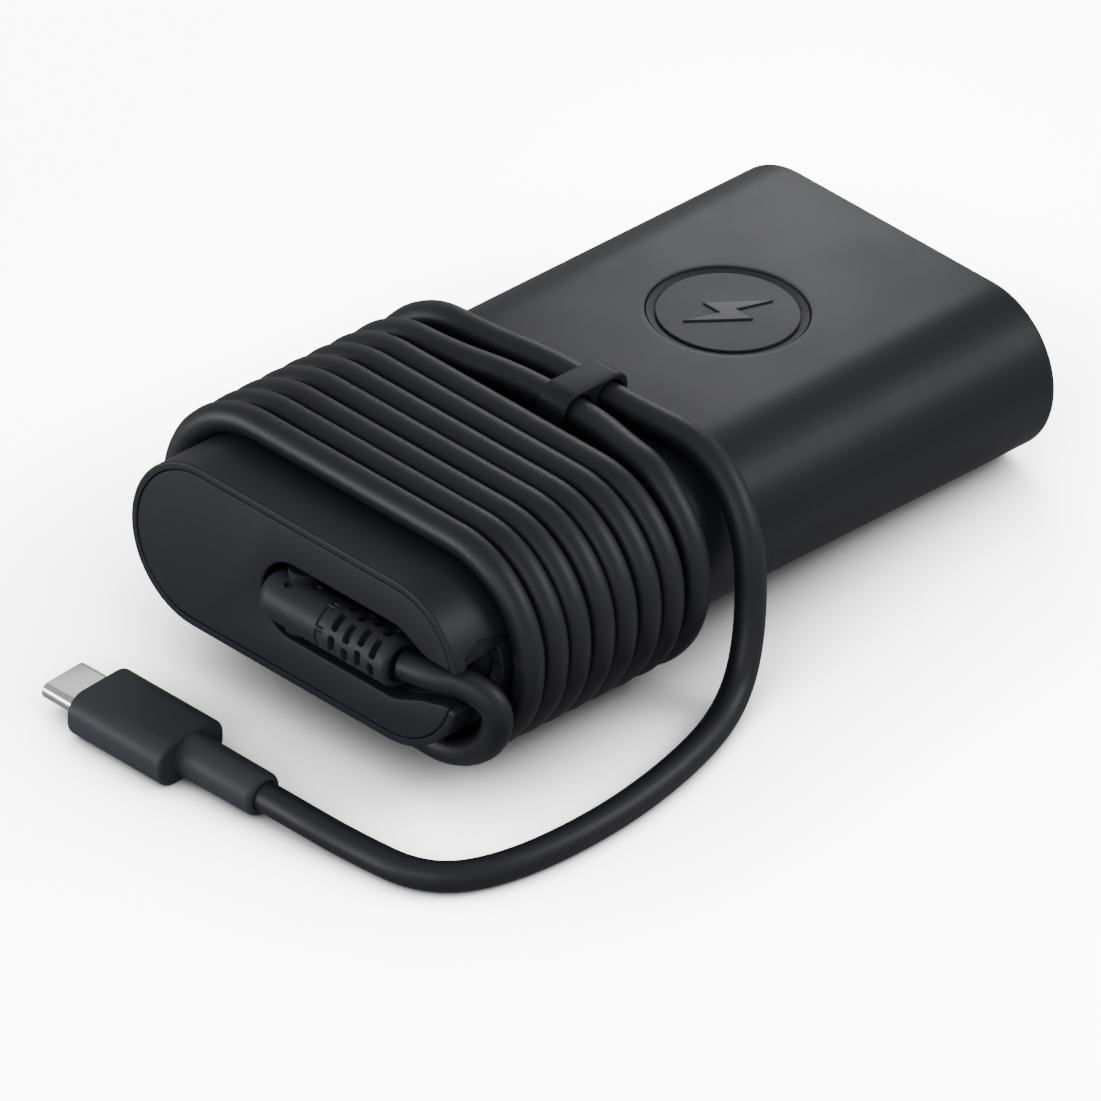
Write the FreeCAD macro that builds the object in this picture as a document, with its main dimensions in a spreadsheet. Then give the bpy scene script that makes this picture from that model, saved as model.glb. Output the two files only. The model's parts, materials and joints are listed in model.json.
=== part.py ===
import FreeCAD, Part
import math
import os

import Sketcher

# Laptop power adapter: a slim stadium-section case with its DC cord wound round the front half.
# Case axes: +X to the right as seen from the cord end, y = 0 at the rear face, the cord end at
# y = -case_length, z = 0 on the underside.  The wound cord props the front up, so every sub-part
# is stood on the table by one shared placement (see stand).  Lengths are in millimetres.

V = FreeCAD.Vector
DOC = FreeCAD.newDocument("PowerAdapter")

# ---------------------------------------------------------------- driving dimensions

DRIVING = [
    ("case_width", 61.0), ("case_length", 114.0), ("case_height", 24.8), ("case_wall", 2.0),
    ("mouth_lip", 1.1), ("mouth_depth", 3.0), ("cap_gap", 0.1), ("front_round", 0.3), ("rear_round", 0.7),
    ("pocket_height", 11.4), ("pocket_centre", -0.3), ("pocket_depth", 9.4), ("pocket_shoulder", 20.1),
    ("throat_start", 23.7), ("throat_height", 6.5), ("pocket_wall", 1.5), ("throat_blend", 5.0),
    ("notch_height", 8.8), ("notch_depth", 8.2),
    ("swivel_inset", 2.2), ("swivel_pin_radius", 1.0), ("swivel_clearance", 0.06), ("trunnion_radius", 2.3),
    ("knuckle_arm_radius", 1.9), ("knuckle_arm_length", 13),
    ("relief_inset", 0.6), ("relief_radius", 3.65), ("relief_left", -5.1), ("relief_right", 19.8),
    ("slot_width", 0.9), ("slot_span", 2.6), ("slot_first", 9.9), ("slot_pitch", 2.43), ("slot_depth", 1.0),
    ("cord_diameter", 4.3), ("turn_pitch", 4.4), ("first_turn", 11.3), ("ring_turns", 7),
    ("cord_slack", 0.25), ("prop_line", 51.0),
    ("clip_left", 2.2), ("clip_length", 5.0), ("clip_front", 42.6), ("clip_rear", 55.0), ("clip_top", 30.0),
    ("clip_foot", 25.9), ("run_front", 45.6), ("run_rear", 51.6), ("clip_clearance", 0.2),
    ("badge_radius", 11.1), ("badge_from_rear", 32.5), ("badge_recess", 0.9), ("badge_thickness", 0.6),
    ("label_width", 34.0), ("label_length", 40.0), ("label_from_rear", 30.0), ("label_recess", 0.3),
    ("label_thickness", 0.2),
    ("inlet_width", 23.0), ("inlet_height", 17.6), ("inlet_depth", 19.0), ("inlet_cavity", 14.0),
    ("inlet_lobe", 5.1), ("inlet_side", 5.0), ("inlet_drop", 2.6), ("inlet_web_rise", 1.2),
    ("inlet_web_height", 7.0), ("pin_radius", 1.2), ("pin_length", 22.0), ("pin_set_back", 1.5),
    ("board_width", 47.0), ("board_front", 101.0), ("board_rear", 21.5), ("board_level", 4.4),
    ("board_thickness", 1.6),
    ("plug_front", -20.0), ("plug_length", 17.4), ("plug_width", 12.3), ("plug_thickness", 6.8),
    ("plug_round", 3.0), ("plug_side", -15.45), ("plug_relief_radius", 3.15), ("plug_relief_length", 13.7),
    ("shell_length", 6.65), ("shell_width", 8.25), ("shell_height", 2.4), ("shell_wall", 0.3),
    ("shell_root", 5.0),
]


def make_sheet():
    """Spreadsheet of driving dimensions: a name in column A, the number and its alias in column B."""
    sheet = DOC.addObject("Spreadsheet::Sheet", "Dims")
    for row, (alias, value) in enumerate(DRIVING, start=1):
        sheet.set("A%d" % row, alias.replace("_", " "))
        sheet.set("B%d" % row, str(value))
        sheet.setAlias("B%d" % row, alias)
    DOC.recompute()
    return sheet


DIMS = make_sheet()


def named(expression):
    """Put the sheet's name before each alias, so that short expressions can be written."""
    words = {alias for alias, _ in DRIVING}
    out = ""
    word = ""
    for letter in expression + " ":
        if letter.isalnum() or letter == "_":
            word += letter
            continue
        out += ("Dims." + word) if word in words else word
        out += letter
        word = ""
    return out.strip()


def number(expression):
    """Value of an expression of driving dimensions."""
    return float(DIMS.evalExpression(named(expression)))


# The rear bottom edge and the underside of the rearmost turn stand on the table.
TILT = "atan((cord_diameter + cord_slack) / (case_length - prop_line))"
REAR_Y = "(case_length * cos(%s) - case_height * sin(%s)) / 2" % (TILT, TILT)
TILT_ANGLE = number(TILT)
STANCE = FreeCAD.Placement(V(0, number(REAR_Y), 0), FreeCAD.Rotation(V(1, 0, 0), -TILT_ANGLE))
FRONT_Y = number("-case_length")

PARTS = []


def listed(feature, node):
    """Register one finished sub-part under its node name."""
    feature.Label = node
    PARTS.append(feature)
    return feature


def stand(feature, node):
    """Stand a sub-part drawn in case axes on the table, tilted nose up by the cord under it."""
    feature.Placement = STANCE
    feature.setExpression("Placement.Base.y", named(REAR_Y))
    feature.setExpression("Placement.Rotation.Angle", named("-" + TILT))
    return listed(feature, node)


# ---------------------------------------------------------------- sketches and features

def new_body(node):
    return DOC.addObject("PartDesign::Body", "Body_" + node)


def new_sketch(body, plane, offset="0"):
    """Sketch on one of the body's own origin planes, moved along that plane's normal.

    XZ has its normal along -Y, so an offset there is a distance forward of the rear face.
    """
    sketch = body.newObject("Sketcher::SketchObject", body.Name + "_sketch")
    role = plane + "_Plane"
    support = [feature for feature in body.Origin.OriginFeatures if feature.Role == role][0]
    sketch.AttachmentSupport = (support, [""])
    sketch.MapMode = "FlatFace"
    sketch.setExpression("AttachmentOffset.Base.z", named(offset))
    return sketch


def tie(sketch, kind, geo, pos, expression):
    """Hold a point of a sketch at a distance from the sketch's origin, along x or y."""
    value = number(expression)
    if abs(value) < 1e-9:
        axis = -2 if kind == "DistanceX" else -1
        sketch.addConstraint(Sketcher.Constraint("PointOnObject", geo, pos, axis))
        return
    index = sketch.addConstraint(Sketcher.Constraint(kind, -1, 1, geo, pos, value))
    sketch.setExpression("Constraints[%d]" % index, named(expression))


def tie_point(sketch, geo, pos, x, y):
    tie(sketch, "DistanceX", geo, pos, x)
    tie(sketch, "DistanceY", geo, pos, y)


def outline(sketch, corners):
    """Closed chain of straight edges through corners given as pairs of expressions."""
    first = sketch.GeometryCount
    points = [V(number(x), number(y), 0) for x, y in corners]
    count = len(points)
    for i in range(count):
        sketch.addGeometry(Part.LineSegment(points[i], points[(i + 1) % count]), False)
    for i in range(count):
        follower = first + (i + 1) % count
        sketch.addConstraint(Sketcher.Constraint("Coincident", first + i, 2, follower, 1))
    for i, (x, y) in enumerate(corners):
        tie_point(sketch, first + i, 1, x, y)


def rectangle(sketch, x, y, width, height):
    """Rectangle centred on x, y."""
    left = "(%s) - (%s) / 2" % (x, width)
    right = "(%s) + (%s) / 2" % (x, width)
    low = "(%s) - (%s) / 2" % (y, height)
    high = "(%s) + (%s) / 2" % (y, height)
    outline(sketch, [(left, low), (right, low), (right, high), (left, high)])


def stadium(sketch, x, y, width, height):
    """Two straight edges joined by half circles, centred on x, y."""
    first = sketch.GeometryCount
    cx, cy, radius = number(x), number(y), number("(%s) / 2" % height)
    reach = number("((%s) - (%s)) / 2" % (width, height))
    quarter = math.pi / 2
    right = Part.Circle(V(cx + reach, cy, 0), V(0, 0, 1), radius)
    left = Part.Circle(V(cx - reach, cy, 0), V(0, 0, 1), radius)
    top = Part.LineSegment(V(cx - reach, cy + radius, 0), V(cx + reach, cy + radius, 0))
    bottom = Part.LineSegment(V(cx + reach, cy - radius, 0), V(cx - reach, cy - radius, 0))
    sketch.addGeometry(top, False)
    sketch.addGeometry(Part.ArcOfCircle(right, -quarter, quarter), False)
    sketch.addGeometry(bottom, False)
    sketch.addGeometry(Part.ArcOfCircle(left, quarter, 3 * quarter), False)
    joints = [(0, 2, 1, 2), (1, 1, 2, 1), (2, 2, 3, 2), (3, 1, 0, 1)]
    for geo_a, pos_a, geo_b, pos_b in joints:
        sketch.addConstraint(Sketcher.Constraint("Tangent", first + geo_a, pos_a, first + geo_b, pos_b))
    half = "((%s) - (%s)) / 2" % (width, height)
    tie_point(sketch, first + 1, 3, "(%s) + %s" % (x, half), y)
    tie_point(sketch, first + 3, 3, "(%s) - %s" % (x, half), y)
    sketch.addConstraint(Sketcher.Constraint("Equal", first + 1, first + 3))
    index = sketch.addConstraint(Sketcher.Constraint("Radius", first + 1, radius))
    sketch.setExpression("Constraints[%d]" % index, named("(%s) / 2" % height))


def circle(sketch, x, y, radius):
    geo = sketch.addGeometry(Part.Circle(V(number(x), number(y), 0), V(0, 0, 1), number(radius)), False)
    tie_point(sketch, geo, 3, x, y)
    index = sketch.addConstraint(Sketcher.Constraint("Radius", geo, number(radius)))
    sketch.setExpression("Constraints[%d]" % index, named(radius))


def pad(body, sketch, length, reverse=False):
    feature = body.newObject("PartDesign::Pad", body.Name + "_pad")
    feature.Profile = sketch
    feature.setExpression("Length", named(length))
    feature.Reversed = reverse
    DOC.recompute()
    return feature


def pocket(body, sketch, length, reverse=False):
    """Cut a sketch into the body, against its plane's normal unless reversed."""
    before = body.Shape.Volume
    feature = body.newObject("PartDesign::Pocket", body.Name + "_pocket")
    feature.Profile = sketch
    feature.setExpression("Length", named(length))
    feature.Reversed = reverse
    DOC.recompute()
    if body.Shape.Volume > before - 1e-3:
        raise RuntimeError(feature.Name + " cuts nothing")
    return feature


def round_edges(body, radius, chosen):
    """Fillet those edges of the body's tip whose bounding box passes the test."""
    tip = body.Tip
    names = ["Edge%d" % (i + 1) for i, edge in enumerate(tip.Shape.Edges) if chosen(edge)]
    if not names:
        raise RuntimeError(body.Name + " has no such edge")
    feature = body.newObject("PartDesign::Fillet", body.Name + "_fillet")
    feature.Base = (tip, names)
    feature.setExpression("Radius", named(radius))
    DOC.recompute()
    return feature


def along_y_at(x, z):
    """Test for a straight edge parallel to Y through x, z."""
    def test(edge):
        box = edge.BoundBox
        straight = box.XLength < 1e-4 and box.ZLength < 1e-4 and box.YLength > 0.5
        return straight and abs(box.XMin - x) < 0.02 and abs(box.ZMin - z) < 0.02
    return test


def outer_rim_at(y):
    """Test for an edge of the case's outer outline lying in the plane at y."""
    half_height = number("case_height / 2")
    reach = number("case_width / 2") - half_height

    def on_outline(point):
        across = max(abs(point.x) - reach, 0.0)
        return abs(math.hypot(across, point.z - half_height) - half_height) < 0.02

    def test(edge):
        box = edge.BoundBox
        in_plane = abs(box.YMin - y) < 1e-4 and abs(box.YMax - y) < 1e-4
        middle = edge.valueAt((edge.FirstParameter + edge.LastParameter) / 2)
        return in_plane and on_outline(middle)
    return test


# ---------------------------------------------------------------- primitives in case axes

def block(name, x, y, z, width, length, height):
    """Box with its least corner at x, y, z."""
    feature = DOC.addObject("Part::Box", name)
    for prop, expression in (("Length", width), ("Width", length), ("Height", height)):
        feature.setExpression(prop, named(expression))
    for axis, expression in (("x", x), ("y", y), ("z", z)):
        feature.setExpression("Placement.Base." + axis, named(expression))
    return feature


TURN_TO = {
    "x": FreeCAD.Rotation(V(0, 1, 0), 90),
    "y": FreeCAD.Rotation(V(1, 0, 0), -90),
    "z": FreeCAD.Rotation(),
}


def rod(name, x, y, z, radius, length, axis):
    """Cylinder that starts at x, y, z and runs along one axis."""
    feature = DOC.addObject("Part::Cylinder", name)
    feature.setExpression("Radius", named(radius))
    feature.setExpression("Height", named(length))
    feature.Placement = FreeCAD.Placement(V(number(x), number(y), number(z)), TURN_TO[axis])
    for letter, expression in (("x", x), ("y", y), ("z", z)):
        feature.setExpression("Placement.Base." + letter, named(expression))
    return feature


def joined(name, features):
    fuse = DOC.addObject("Part::MultiFuse", name)
    fuse.Shapes = features
    return fuse


def less(name, base, tool):
    cut = DOC.addObject("Part::Cut", name)
    cut.Base = base
    cut.Tool = tool
    return cut


def group(name, features):
    compound = DOC.addObject("Part::Compound", name)
    compound.Links = features
    return compound


# ---------------------------------------------------------------- case

MID = "case_height / 2"
INSET_WIDTH = "case_width - 2 * (%s)"
INSET_HEIGHT = "case_height - 2 * (%s)"


def case_outline(sketch, inset):
    stadium(sketch, "0", MID, INSET_WIDTH % inset, INSET_HEIGHT % inset)


def make_sleeve():
    """Seamless tube, rebated at both mouths for the caps and notched at the right for the cord."""
    body = new_body("sleeve")
    sketch = new_sketch(body, "XZ")
    case_outline(sketch, "0")
    pad(body, sketch, "case_length")
    round_edges(body, "front_round", outer_rim_at(FRONT_Y))
    round_edges(body, "rear_round", outer_rim_at(0.0))
    bore = new_sketch(body, "XZ", "case_length")
    case_outline(bore, "case_wall")
    pocket(body, bore, "case_length")
    for offset, reverse in (("case_length", False), ("0", True)):
        rebate = new_sketch(body, "XZ", offset)
        case_outline(rebate, "mouth_lip")
        pocket(body, rebate, "mouth_depth", reverse)
    notch = new_sketch(body, "YZ", "case_width / 2 + 1")
    stadium(notch, "-case_length", MID, "2 * notch_depth", "notch_height")
    pocket(body, notch, "case_height / 2")
    badge = new_sketch(body, "XY", "case_height")
    circle(badge, "0", "-badge_from_rear", "badge_radius")
    pocket(body, badge, "badge_recess")
    label = new_sketch(body, "XY", "0")
    rectangle(label, "0", "-label_from_rear", "label_width", "label_length")
    pocket(body, label, "label_recess", True)
    return stand(body, "sleeve")


def pocket_corners():
    """Corners of the cord pocket's shoulder and throat, clockwise from the top left."""
    top = "%s + pocket_height / 2" % MID
    low = "%s - pocket_height / 2" % MID
    throat_top = "%s + throat_height / 2" % MID
    throat_low = "%s - throat_height / 2" % MID
    right = "case_width / 2 + 1"
    return [("5", top), ("pocket_shoulder", top), ("throat_start", throat_top), (right, throat_top),
            (right, throat_low), ("throat_start", throat_low), ("pocket_shoulder", low), ("5", low)]


def make_front_cap():
    """Inset end cap with the swivel pocket, its wavy throat and the well moulded behind it."""
    body = new_body("front_cap")
    plate = new_sketch(body, "XZ", "case_length - mouth_depth + cap_gap")
    case_outline(plate, "mouth_lip + cap_gap")
    pad(body, plate, "mouth_depth - cap_gap")
    well = new_sketch(body, "XZ", "case_length - pocket_depth - pocket_wall")
    left = "pocket_centre - pocket_height / 2 - pocket_wall"
    step = "throat_start - 2.5"
    right = "27"
    top = "%s + pocket_height / 2 + pocket_wall" % MID
    low = "%s - pocket_height / 2 - pocket_wall" % MID
    throat_top = "%s + throat_height / 2 + pocket_wall" % MID
    throat_low = "%s - throat_height / 2 - pocket_wall" % MID
    outline(well, [(left, low), (step, low), (step, throat_low), (right, throat_low),
                   (right, throat_top), (step, throat_top), (step, top), (left, top)])
    pad(body, well, "pocket_depth + pocket_wall - 1")
    slot = new_sketch(body, "XZ", "case_length")
    stadium(slot, "pocket_centre + 6", MID, "pocket_height + 12", "pocket_height")
    pocket(body, slot, "pocket_depth")
    throat = new_sketch(body, "XZ", "case_length")
    outline(throat, pocket_corners())
    pocket(body, throat, "pocket_depth")
    shoulder, start = number("pocket_shoulder"), number("throat_start")
    middle = number(MID)
    for sign in (1, -1):
        wide = middle + sign * number("pocket_height / 2")
        narrow = middle + sign * number("throat_height / 2")
        round_edges(body, "throat_blend", along_y_at(shoulder, wide))
        round_edges(body, "throat_blend", along_y_at(start, narrow))
    bore = new_sketch(body, "XY", "case_height - 5.2")
    circle(bore, "pocket_centre", "swivel_inset - case_length", "swivel_pin_radius")
    pocket(body, bore, "case_height - 10.4")
    return stand(body, "front_cap")


def make_rear_cap():
    """Plain inset cap round the mains inlet."""
    body = new_body("rear_cap")
    plate = new_sketch(body, "XZ")
    case_outline(plate, "mouth_lip + cap_gap")
    pad(body, plate, "mouth_depth - cap_gap")
    window = new_sketch(body, "XZ")
    rectangle(window, "0", MID, "inlet_width", "inlet_height")
    pocket(body, window, "mouth_depth", True)
    return stand(body, "rear_cap")


INLET_LOBES = [("-inlet_side", "inlet_drop"), ("inlet_side", "inlet_drop"), ("0", "-inlet_drop")]


def make_inlet():
    """Three-lobed appliance inlet (IEC 60320 C6): moulded body, then its three round pins."""
    body = new_body("ac_inlet")
    core = new_sketch(body, "XZ")
    rectangle(core, "0", MID, "inlet_width - 2 * cap_gap", "inlet_height - 2 * cap_gap")
    pad(body, core, "inlet_depth")
    for x, z in INLET_LOBES:
        lobe = new_sketch(body, "XZ")
        circle(lobe, x, "%s + %s" % (MID, z), "inlet_lobe")
        pocket(body, lobe, "inlet_cavity", True)
    web = new_sketch(body, "XZ")
    rectangle(web, "0", "%s + inlet_web_rise" % MID, "2 * inlet_side", "inlet_web_height")
    pocket(body, web, "inlet_cavity", True)
    for x, z in INLET_LOBES:
        hole = new_sketch(body, "XZ")
        circle(hole, x, "%s + %s" % (MID, z), "pin_radius")
        pocket(body, hole, "inlet_depth", True)
    stand(body, "ac_inlet_body")
    tip = -number("pin_set_back")
    for node, (x, z) in zip(("inlet_pin_line", "inlet_pin_neutral", "inlet_pin_earth"), INLET_LOBES):
        pin = new_body(node)
        profile = new_sketch(pin, "XZ", "pin_set_back")
        circle(profile, x, "%s + %s" % (MID, z), "pin_radius")
        pad(pin, profile, "pin_length")
        round_edges(pin, "pin_radius * 0.6", lambda edge: edge.BoundBox.YMin > tip - 1e-4)
        stand(pin, node)


def make_badge():
    """Round trim disc that sits in the recess on the top, with a raised rim."""
    body = new_body("badge_disc")
    disc = new_sketch(body, "XY", "case_height - badge_recess")
    circle(disc, "0", "-badge_from_rear", "badge_radius - 0.25")
    pad(body, disc, "badge_thickness")
    stand(body, "badge_disc")
    arrow = new_body("badge_mark")
    bolt = new_sketch(arrow, "XY", "case_height - badge_recess + badge_thickness")
    centre = "-badge_from_rear"
    steps = [(1.6, 6.2), (-3.8, -0.9), (-0.7, -0.9), (-1.6, -6.2), (3.8, 0.9), (0.7, 0.9)]
    outline(bolt, [(str(x), "%s + %s" % (centre, y)) for x, y in steps])
    pad(arrow, bolt, "0.25")
    stand(arrow, "badge_mark")


def make_label():
    """Blank rating label in its recess on the underside."""
    body = new_body("rating_label")
    sheet = new_sketch(body, "XY", "label_recess - label_thickness")
    rectangle(sheet, "0", "-label_from_rear", "label_width - 0.4", "label_length - 0.4")
    pad(body, sheet, "label_thickness")
    stand(body, "rating_label")


# ---------------------------------------------------------------- swivelling cord exit

SWIVEL_Y = "swivel_inset - case_length"
RELIEF_Y = "relief_inset - case_length"
SLOT_ROWS, SLOT_COLUMNS = 6, 4
SLOT_START, SLOT_STAGGER = 45, 5
# Small round marks of the mould: place along the relief and direction in degrees, from -y towards +z.
GATE_HOLES = ((-0.4, 68), (3.1, 100))
GATE_RADIUS, GATE_DEPTH = 0.55, 1.0


def make_swivel():
    """Steel pin, hard knuckle that turns on it, and the soft strain relief moulded over the knuckle."""
    pin = rod("pin_steel", "pocket_centre", SWIVEL_Y, "5.4", "swivel_pin_radius", "case_height - 10.8", "z")
    stand(group("swivel_pin", [pin]), "swivel_pin")

    def core(name):
        trunnion = rod(name + "_trunnion", "pocket_centre", SWIVEL_Y, "%s - pocket_height / 2 + 0.9" % MID,
                       "trunnion_radius", "pocket_height - 1.8", "z")
        arm = rod(name + "_arm", "pocket_centre", RELIEF_Y, MID, "knuckle_arm_radius", "knuckle_arm_length", "x")
        return joined(name, [trunnion, arm])

    hole = rod("knuckle_bore", "pocket_centre", SWIVEL_Y, "0", "swivel_pin_radius + swivel_clearance",
               "case_height", "z")
    stand(less("swivel_knuckle", core("knuckle_core"), hole), "swivel_knuckle")

    body = new_body("strain_relief_core")
    barrel = new_sketch(body, "YZ", "relief_left")
    circle(barrel, RELIEF_Y, MID, "relief_radius")
    pad(body, barrel, "relief_right - relief_left")
    left, right = number("relief_left"), number("relief_right")
    round_edges(body, "relief_radius * 0.8", lambda edge: edge.BoundBox.XMax < left + 1e-3
                and edge.BoundBox.XMin > left - 1e-3)
    round_edges(body, "0.8", lambda edge: edge.BoundBox.XMin > right - 1e-3)
    mouth = new_sketch(body, "YZ", "relief_right")
    circle(mouth, RELIEF_Y, MID, "relief_radius - 0.9")
    pocket(body, mouth, "0.8")

    cutters = []
    axis_point = V(0, number(RELIEF_Y), number(MID))
    radius = number("relief_radius")
    span = number("slot_span")
    for row in range(SLOT_ROWS):
        for column in range(SLOT_COLUMNS):
            x = number("slot_first + %d * slot_pitch" % column)
            zigzag = SLOT_STAGGER if column % 2 == 0 else -SLOT_STAGGER
            angle = row * 360 / SLOT_ROWS + SLOT_START + zigzag
            slot = DOC.addObject("Part::Box", "slot_%d_%d" % (row, column))
            slot.setExpression("Length", named("slot_width"))
            slot.setExpression("Width", named("slot_depth + 1"))
            slot.setExpression("Height", named("slot_span"))
            turned = FreeCAD.Rotation(V(1, 0, 0), -angle)
            inner = turned.multVec(V(-number("slot_width / 2"), -radius - 1, -span / 2))
            slot.Placement = FreeCAD.Placement(axis_point + V(x, 0, 0) + inner, turned)
            cutters.append(slot)
    for index, (x, angle) in enumerate(GATE_HOLES):
        drill = DOC.addObject("Part::Cylinder", "gate_hole_%d" % index)
        drill.Radius = GATE_RADIUS
        drill.Height = 2 * GATE_DEPTH
        lean = FreeCAD.Rotation(V(1, 0, 0), 90 - angle)
        start = lean.multVec(V(0, 0, radius - GATE_DEPTH))
        drill.Placement = FreeCAD.Placement(axis_point + V(x, 0, 0) + start, lean)
        cutters.append(drill)
    tool = joined("relief_cutters", [core("relief_socket")] + cutters)
    stand(less("dc_strain_relief", body, tool), "dc_strain_relief")


def make_clip():
    """Rubber cable clip: a flat bar with two snap channels, one for each of the last two runs."""
    body = new_body("cable_clip")
    profile = new_sketch(body, "YZ", "clip_left")
    rectangle(profile, "(clip_front + clip_rear) / 2 - case_length", "(clip_foot + clip_top) / 2",
              "clip_rear - clip_front", "clip_top - clip_foot")
    pad(body, profile, "clip_length")
    level = "case_height + cord_diameter / 2"
    for run in ("run_front", "run_rear"):
        channel = new_sketch(body, "YZ", "clip_left + clip_length")
        circle(channel, run + " - case_length", level, "cord_diameter / 2 + clip_clearance")
        pocket(body, channel, "clip_length")
    top = number("clip_top")

    def upper_corner(edge):
        box = edge.BoundBox
        return box.YLength < 1e-4 and box.ZLength < 1e-4 and abs(box.ZMin - top) < 1e-4
    round_edges(body, "1.5", upper_corner)
    return stand(body, "cable_clip")


# ---------------------------------------------------------------- cord

RUN_SHARE = 0.45


def turn_at(points, i):
    """Half of the angle that the route turns through at one of its points."""
    return (points[i] - points[i - 1]).getAngle(points[i + 1] - points[i]) / 2


def arc_reaches(points, held):
    """How far each corner's tangent arc reaches along its two runs.

    A held corner, where the cord hugs an edge, keeps its radius.  Any other arc takes RUN_SHARE of
    its shorter run, or what a held neighbour leaves of it.
    """
    count = len(points)
    reaches = [0.0] * count
    for i, radius in held.items():
        reaches[i] = radius * math.tan(turn_at(points, i))
    for i in range(1, count - 1):
        if i in held:
            continue
        spans = []
        for neighbour in (i - 1, i + 1):
            run = (points[neighbour] - points[i]).Length
            spans.append(RUN_SHARE * run)
            if neighbour in held:
                spans.append(0.95 * (run - reaches[neighbour]))
        reaches[i] = min(spans)
    return reaches


def rounded_wire(points, held):
    """Straight runs joined by tangent arcs; held gives the radius where the cord hugs an edge."""
    reaches = arc_reaches(points, held)
    edges = []
    radii = []
    cursor = points[0]
    for i in range(1, len(points) - 1):
        corner = points[i]
        half_turn = turn_at(points, i)
        radius = reaches[i] / math.tan(half_turn)
        back = (points[i - 1] - corner).normalize()
        onward = (points[i + 1] - corner).normalize()
        arc_start = corner + back * reaches[i]
        arc_end = corner + onward * reaches[i]
        inward = (back + onward).normalize()
        centre = corner + inward * (radius / math.cos(half_turn))
        arc_middle = centre - inward * radius
        edges.append(Part.LineSegment(cursor, arc_start).toShape())
        edges.append(Part.Arc(arc_start, arc_middle, arc_end).toShape())
        radii.append(radius)
        cursor = arc_end
    edges.append(Part.LineSegment(cursor, points[-1]).toShape())
    return Part.Wire(edges), radii


def tube(node, points, held):
    """Cord tube along a rounded route, its volume checked against section times length."""
    path, radii = rounded_wire(points, held)
    radius = number("cord_diameter / 2")
    start = (points[1] - points[0]).normalize()
    section = Part.Face(Part.Wire([Part.Circle(points[0], start, radius).toShape()]))
    solid = path.makePipe(section)
    expected = math.pi * radius ** 2 * path.Length
    print("%s: length %.1f, volume %.1f of %.1f" % (node, path.Length, solid.Volume, expected))
    print("   radii in diameters:", " ".join("%.1f" % (r / (2 * radius)) for r in radii))
    if abs(solid.Volume / expected - 1) > 0.01:
        raise RuntimeError(node + " has the wrong volume")
    feature = DOC.addObject("Part::Feature", "Tube_" + node)
    feature.Shape = solid
    return listed(feature, node)


def on_case(x, from_front, z):
    """A route point given in case axes, its y counted from the front face."""
    return STANCE.multVec(V(x, from_front + FRONT_Y, z))


def on_table(x, from_front, z):
    """A route point above the table, its y counted from below the case's front edge."""
    return V(x, from_front + number(REAR_Y) + FRONT_Y, z)


def wrap_frame():
    """Side reach and the top and bottom levels of the wound cord's centreline."""
    radius = number("cord_diameter / 2")
    side = number("case_width / 2") + radius
    top = number("case_height") + radius
    bottom = -radius - number("cord_slack")
    return side, top, bottom


def make_lead():
    """From the strain relief out through the notch, round the right side and under the case."""
    _, _, bottom = wrap_frame()
    route = [
        (20.1, 0.6, 12.4), (25.0, 1.2, 12.6), (29.0, 3.0, 12.8), (33.6, 5.0, 10.3),
        (32.3, 5.6, 3.7), (25.2, 6.3, bottom + 0.8), (17.0, 7.0, bottom), (2.0, 8.3, bottom),
    ]
    points = [on_case(*place) for place in route]
    tube("cord_lead", points, {})


def make_coil():
    """Outer shape of the seven neat turns, one closed ring round the case."""
    body = new_body("cord_coil")
    front = "case_length - first_turn + cord_diameter / 2"
    length = "(ring_turns - 1) * turn_pitch + cord_diameter"
    ring = new_sketch(body, "XZ", "%s - (%s)" % (front, length))
    case_outline(ring, "-cord_diameter")
    pad(body, ring, length)
    hollow = new_sketch(body, "XZ", front)
    case_outline(hollow, "0")
    pocket(body, hollow, length)
    stand(body, "cord_coil")


def make_tail():
    """The last two turns, loose by the clip, then the free run down to the table and the plug."""
    side, top, bottom = wrap_frame()
    front_run, rear_run = number("run_front"), number("run_rear")
    wound = [
        (2.0, 40.1, bottom), (-12.0, 41.2, bottom), (-side, 42.1, bottom), (-side, 42.4, top),
        (-14.0, 42.9, top), (-3.6, front_run, top), (11.4, front_run, top), (15.6, 44.3, top),
        (side, 42.4, top), (side, 42.0, bottom), (14.0, 44.0, bottom), (-14.0, 47.2, bottom),
        (-side, 49.0, bottom), (-side, 49.2, top), (-14.0, 49.6, top), (-3.6, rear_run, top),
        (11.4, rear_run, top), (24.6, 52.8, top + 0.1),
    ]
    free = [
        (34.0, 52.9, 23.4), (36.6, 50.4, 9.6), (39.1, 44.8, 2.15), (43.8, 32.5, 2.15),
        (46.2, 14.5, 2.15), (44.4, -3.5, 2.15), (38.4, -13.0, 2.15), (25.6, -14.3, 2.25),
        (17.5, -15.45, 3.4), (11.1, -15.45, 3.4),
    ]
    places = [on_case(*place) for place in wound] + [on_table(*place) for place in free]
    round_side = number("(case_height + cord_diameter) / 2")
    corners = [i for i, place in enumerate(wound) if abs(place[0]) == side]
    tube("cord_tail", places, {i: round_side for i in corners})


# ---------------------------------------------------------------- plug

def plug_profile(sketch, inset):
    """Rounded rectangle of the plug, drawn with y across and z up."""
    width = "plug_width - 2 * (%s)" % inset
    height = "plug_thickness - 2 * (%s)" % inset
    rectangle(sketch, "plug_side", "plug_thickness / 2", width, height)


def lay(feature, node):
    """Lay a plug piece flat on the table; its y is counted from below the case's front edge."""
    feature.Placement = FreeCAD.Placement(V(0, number(REAR_Y) + FRONT_Y, 0), FreeCAD.Rotation())
    feature.setExpression("Placement.Base.y", named("%s - case_length" % REAR_Y))
    return listed(feature, node)


PLUG_Z = "plug_thickness / 2"


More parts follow.
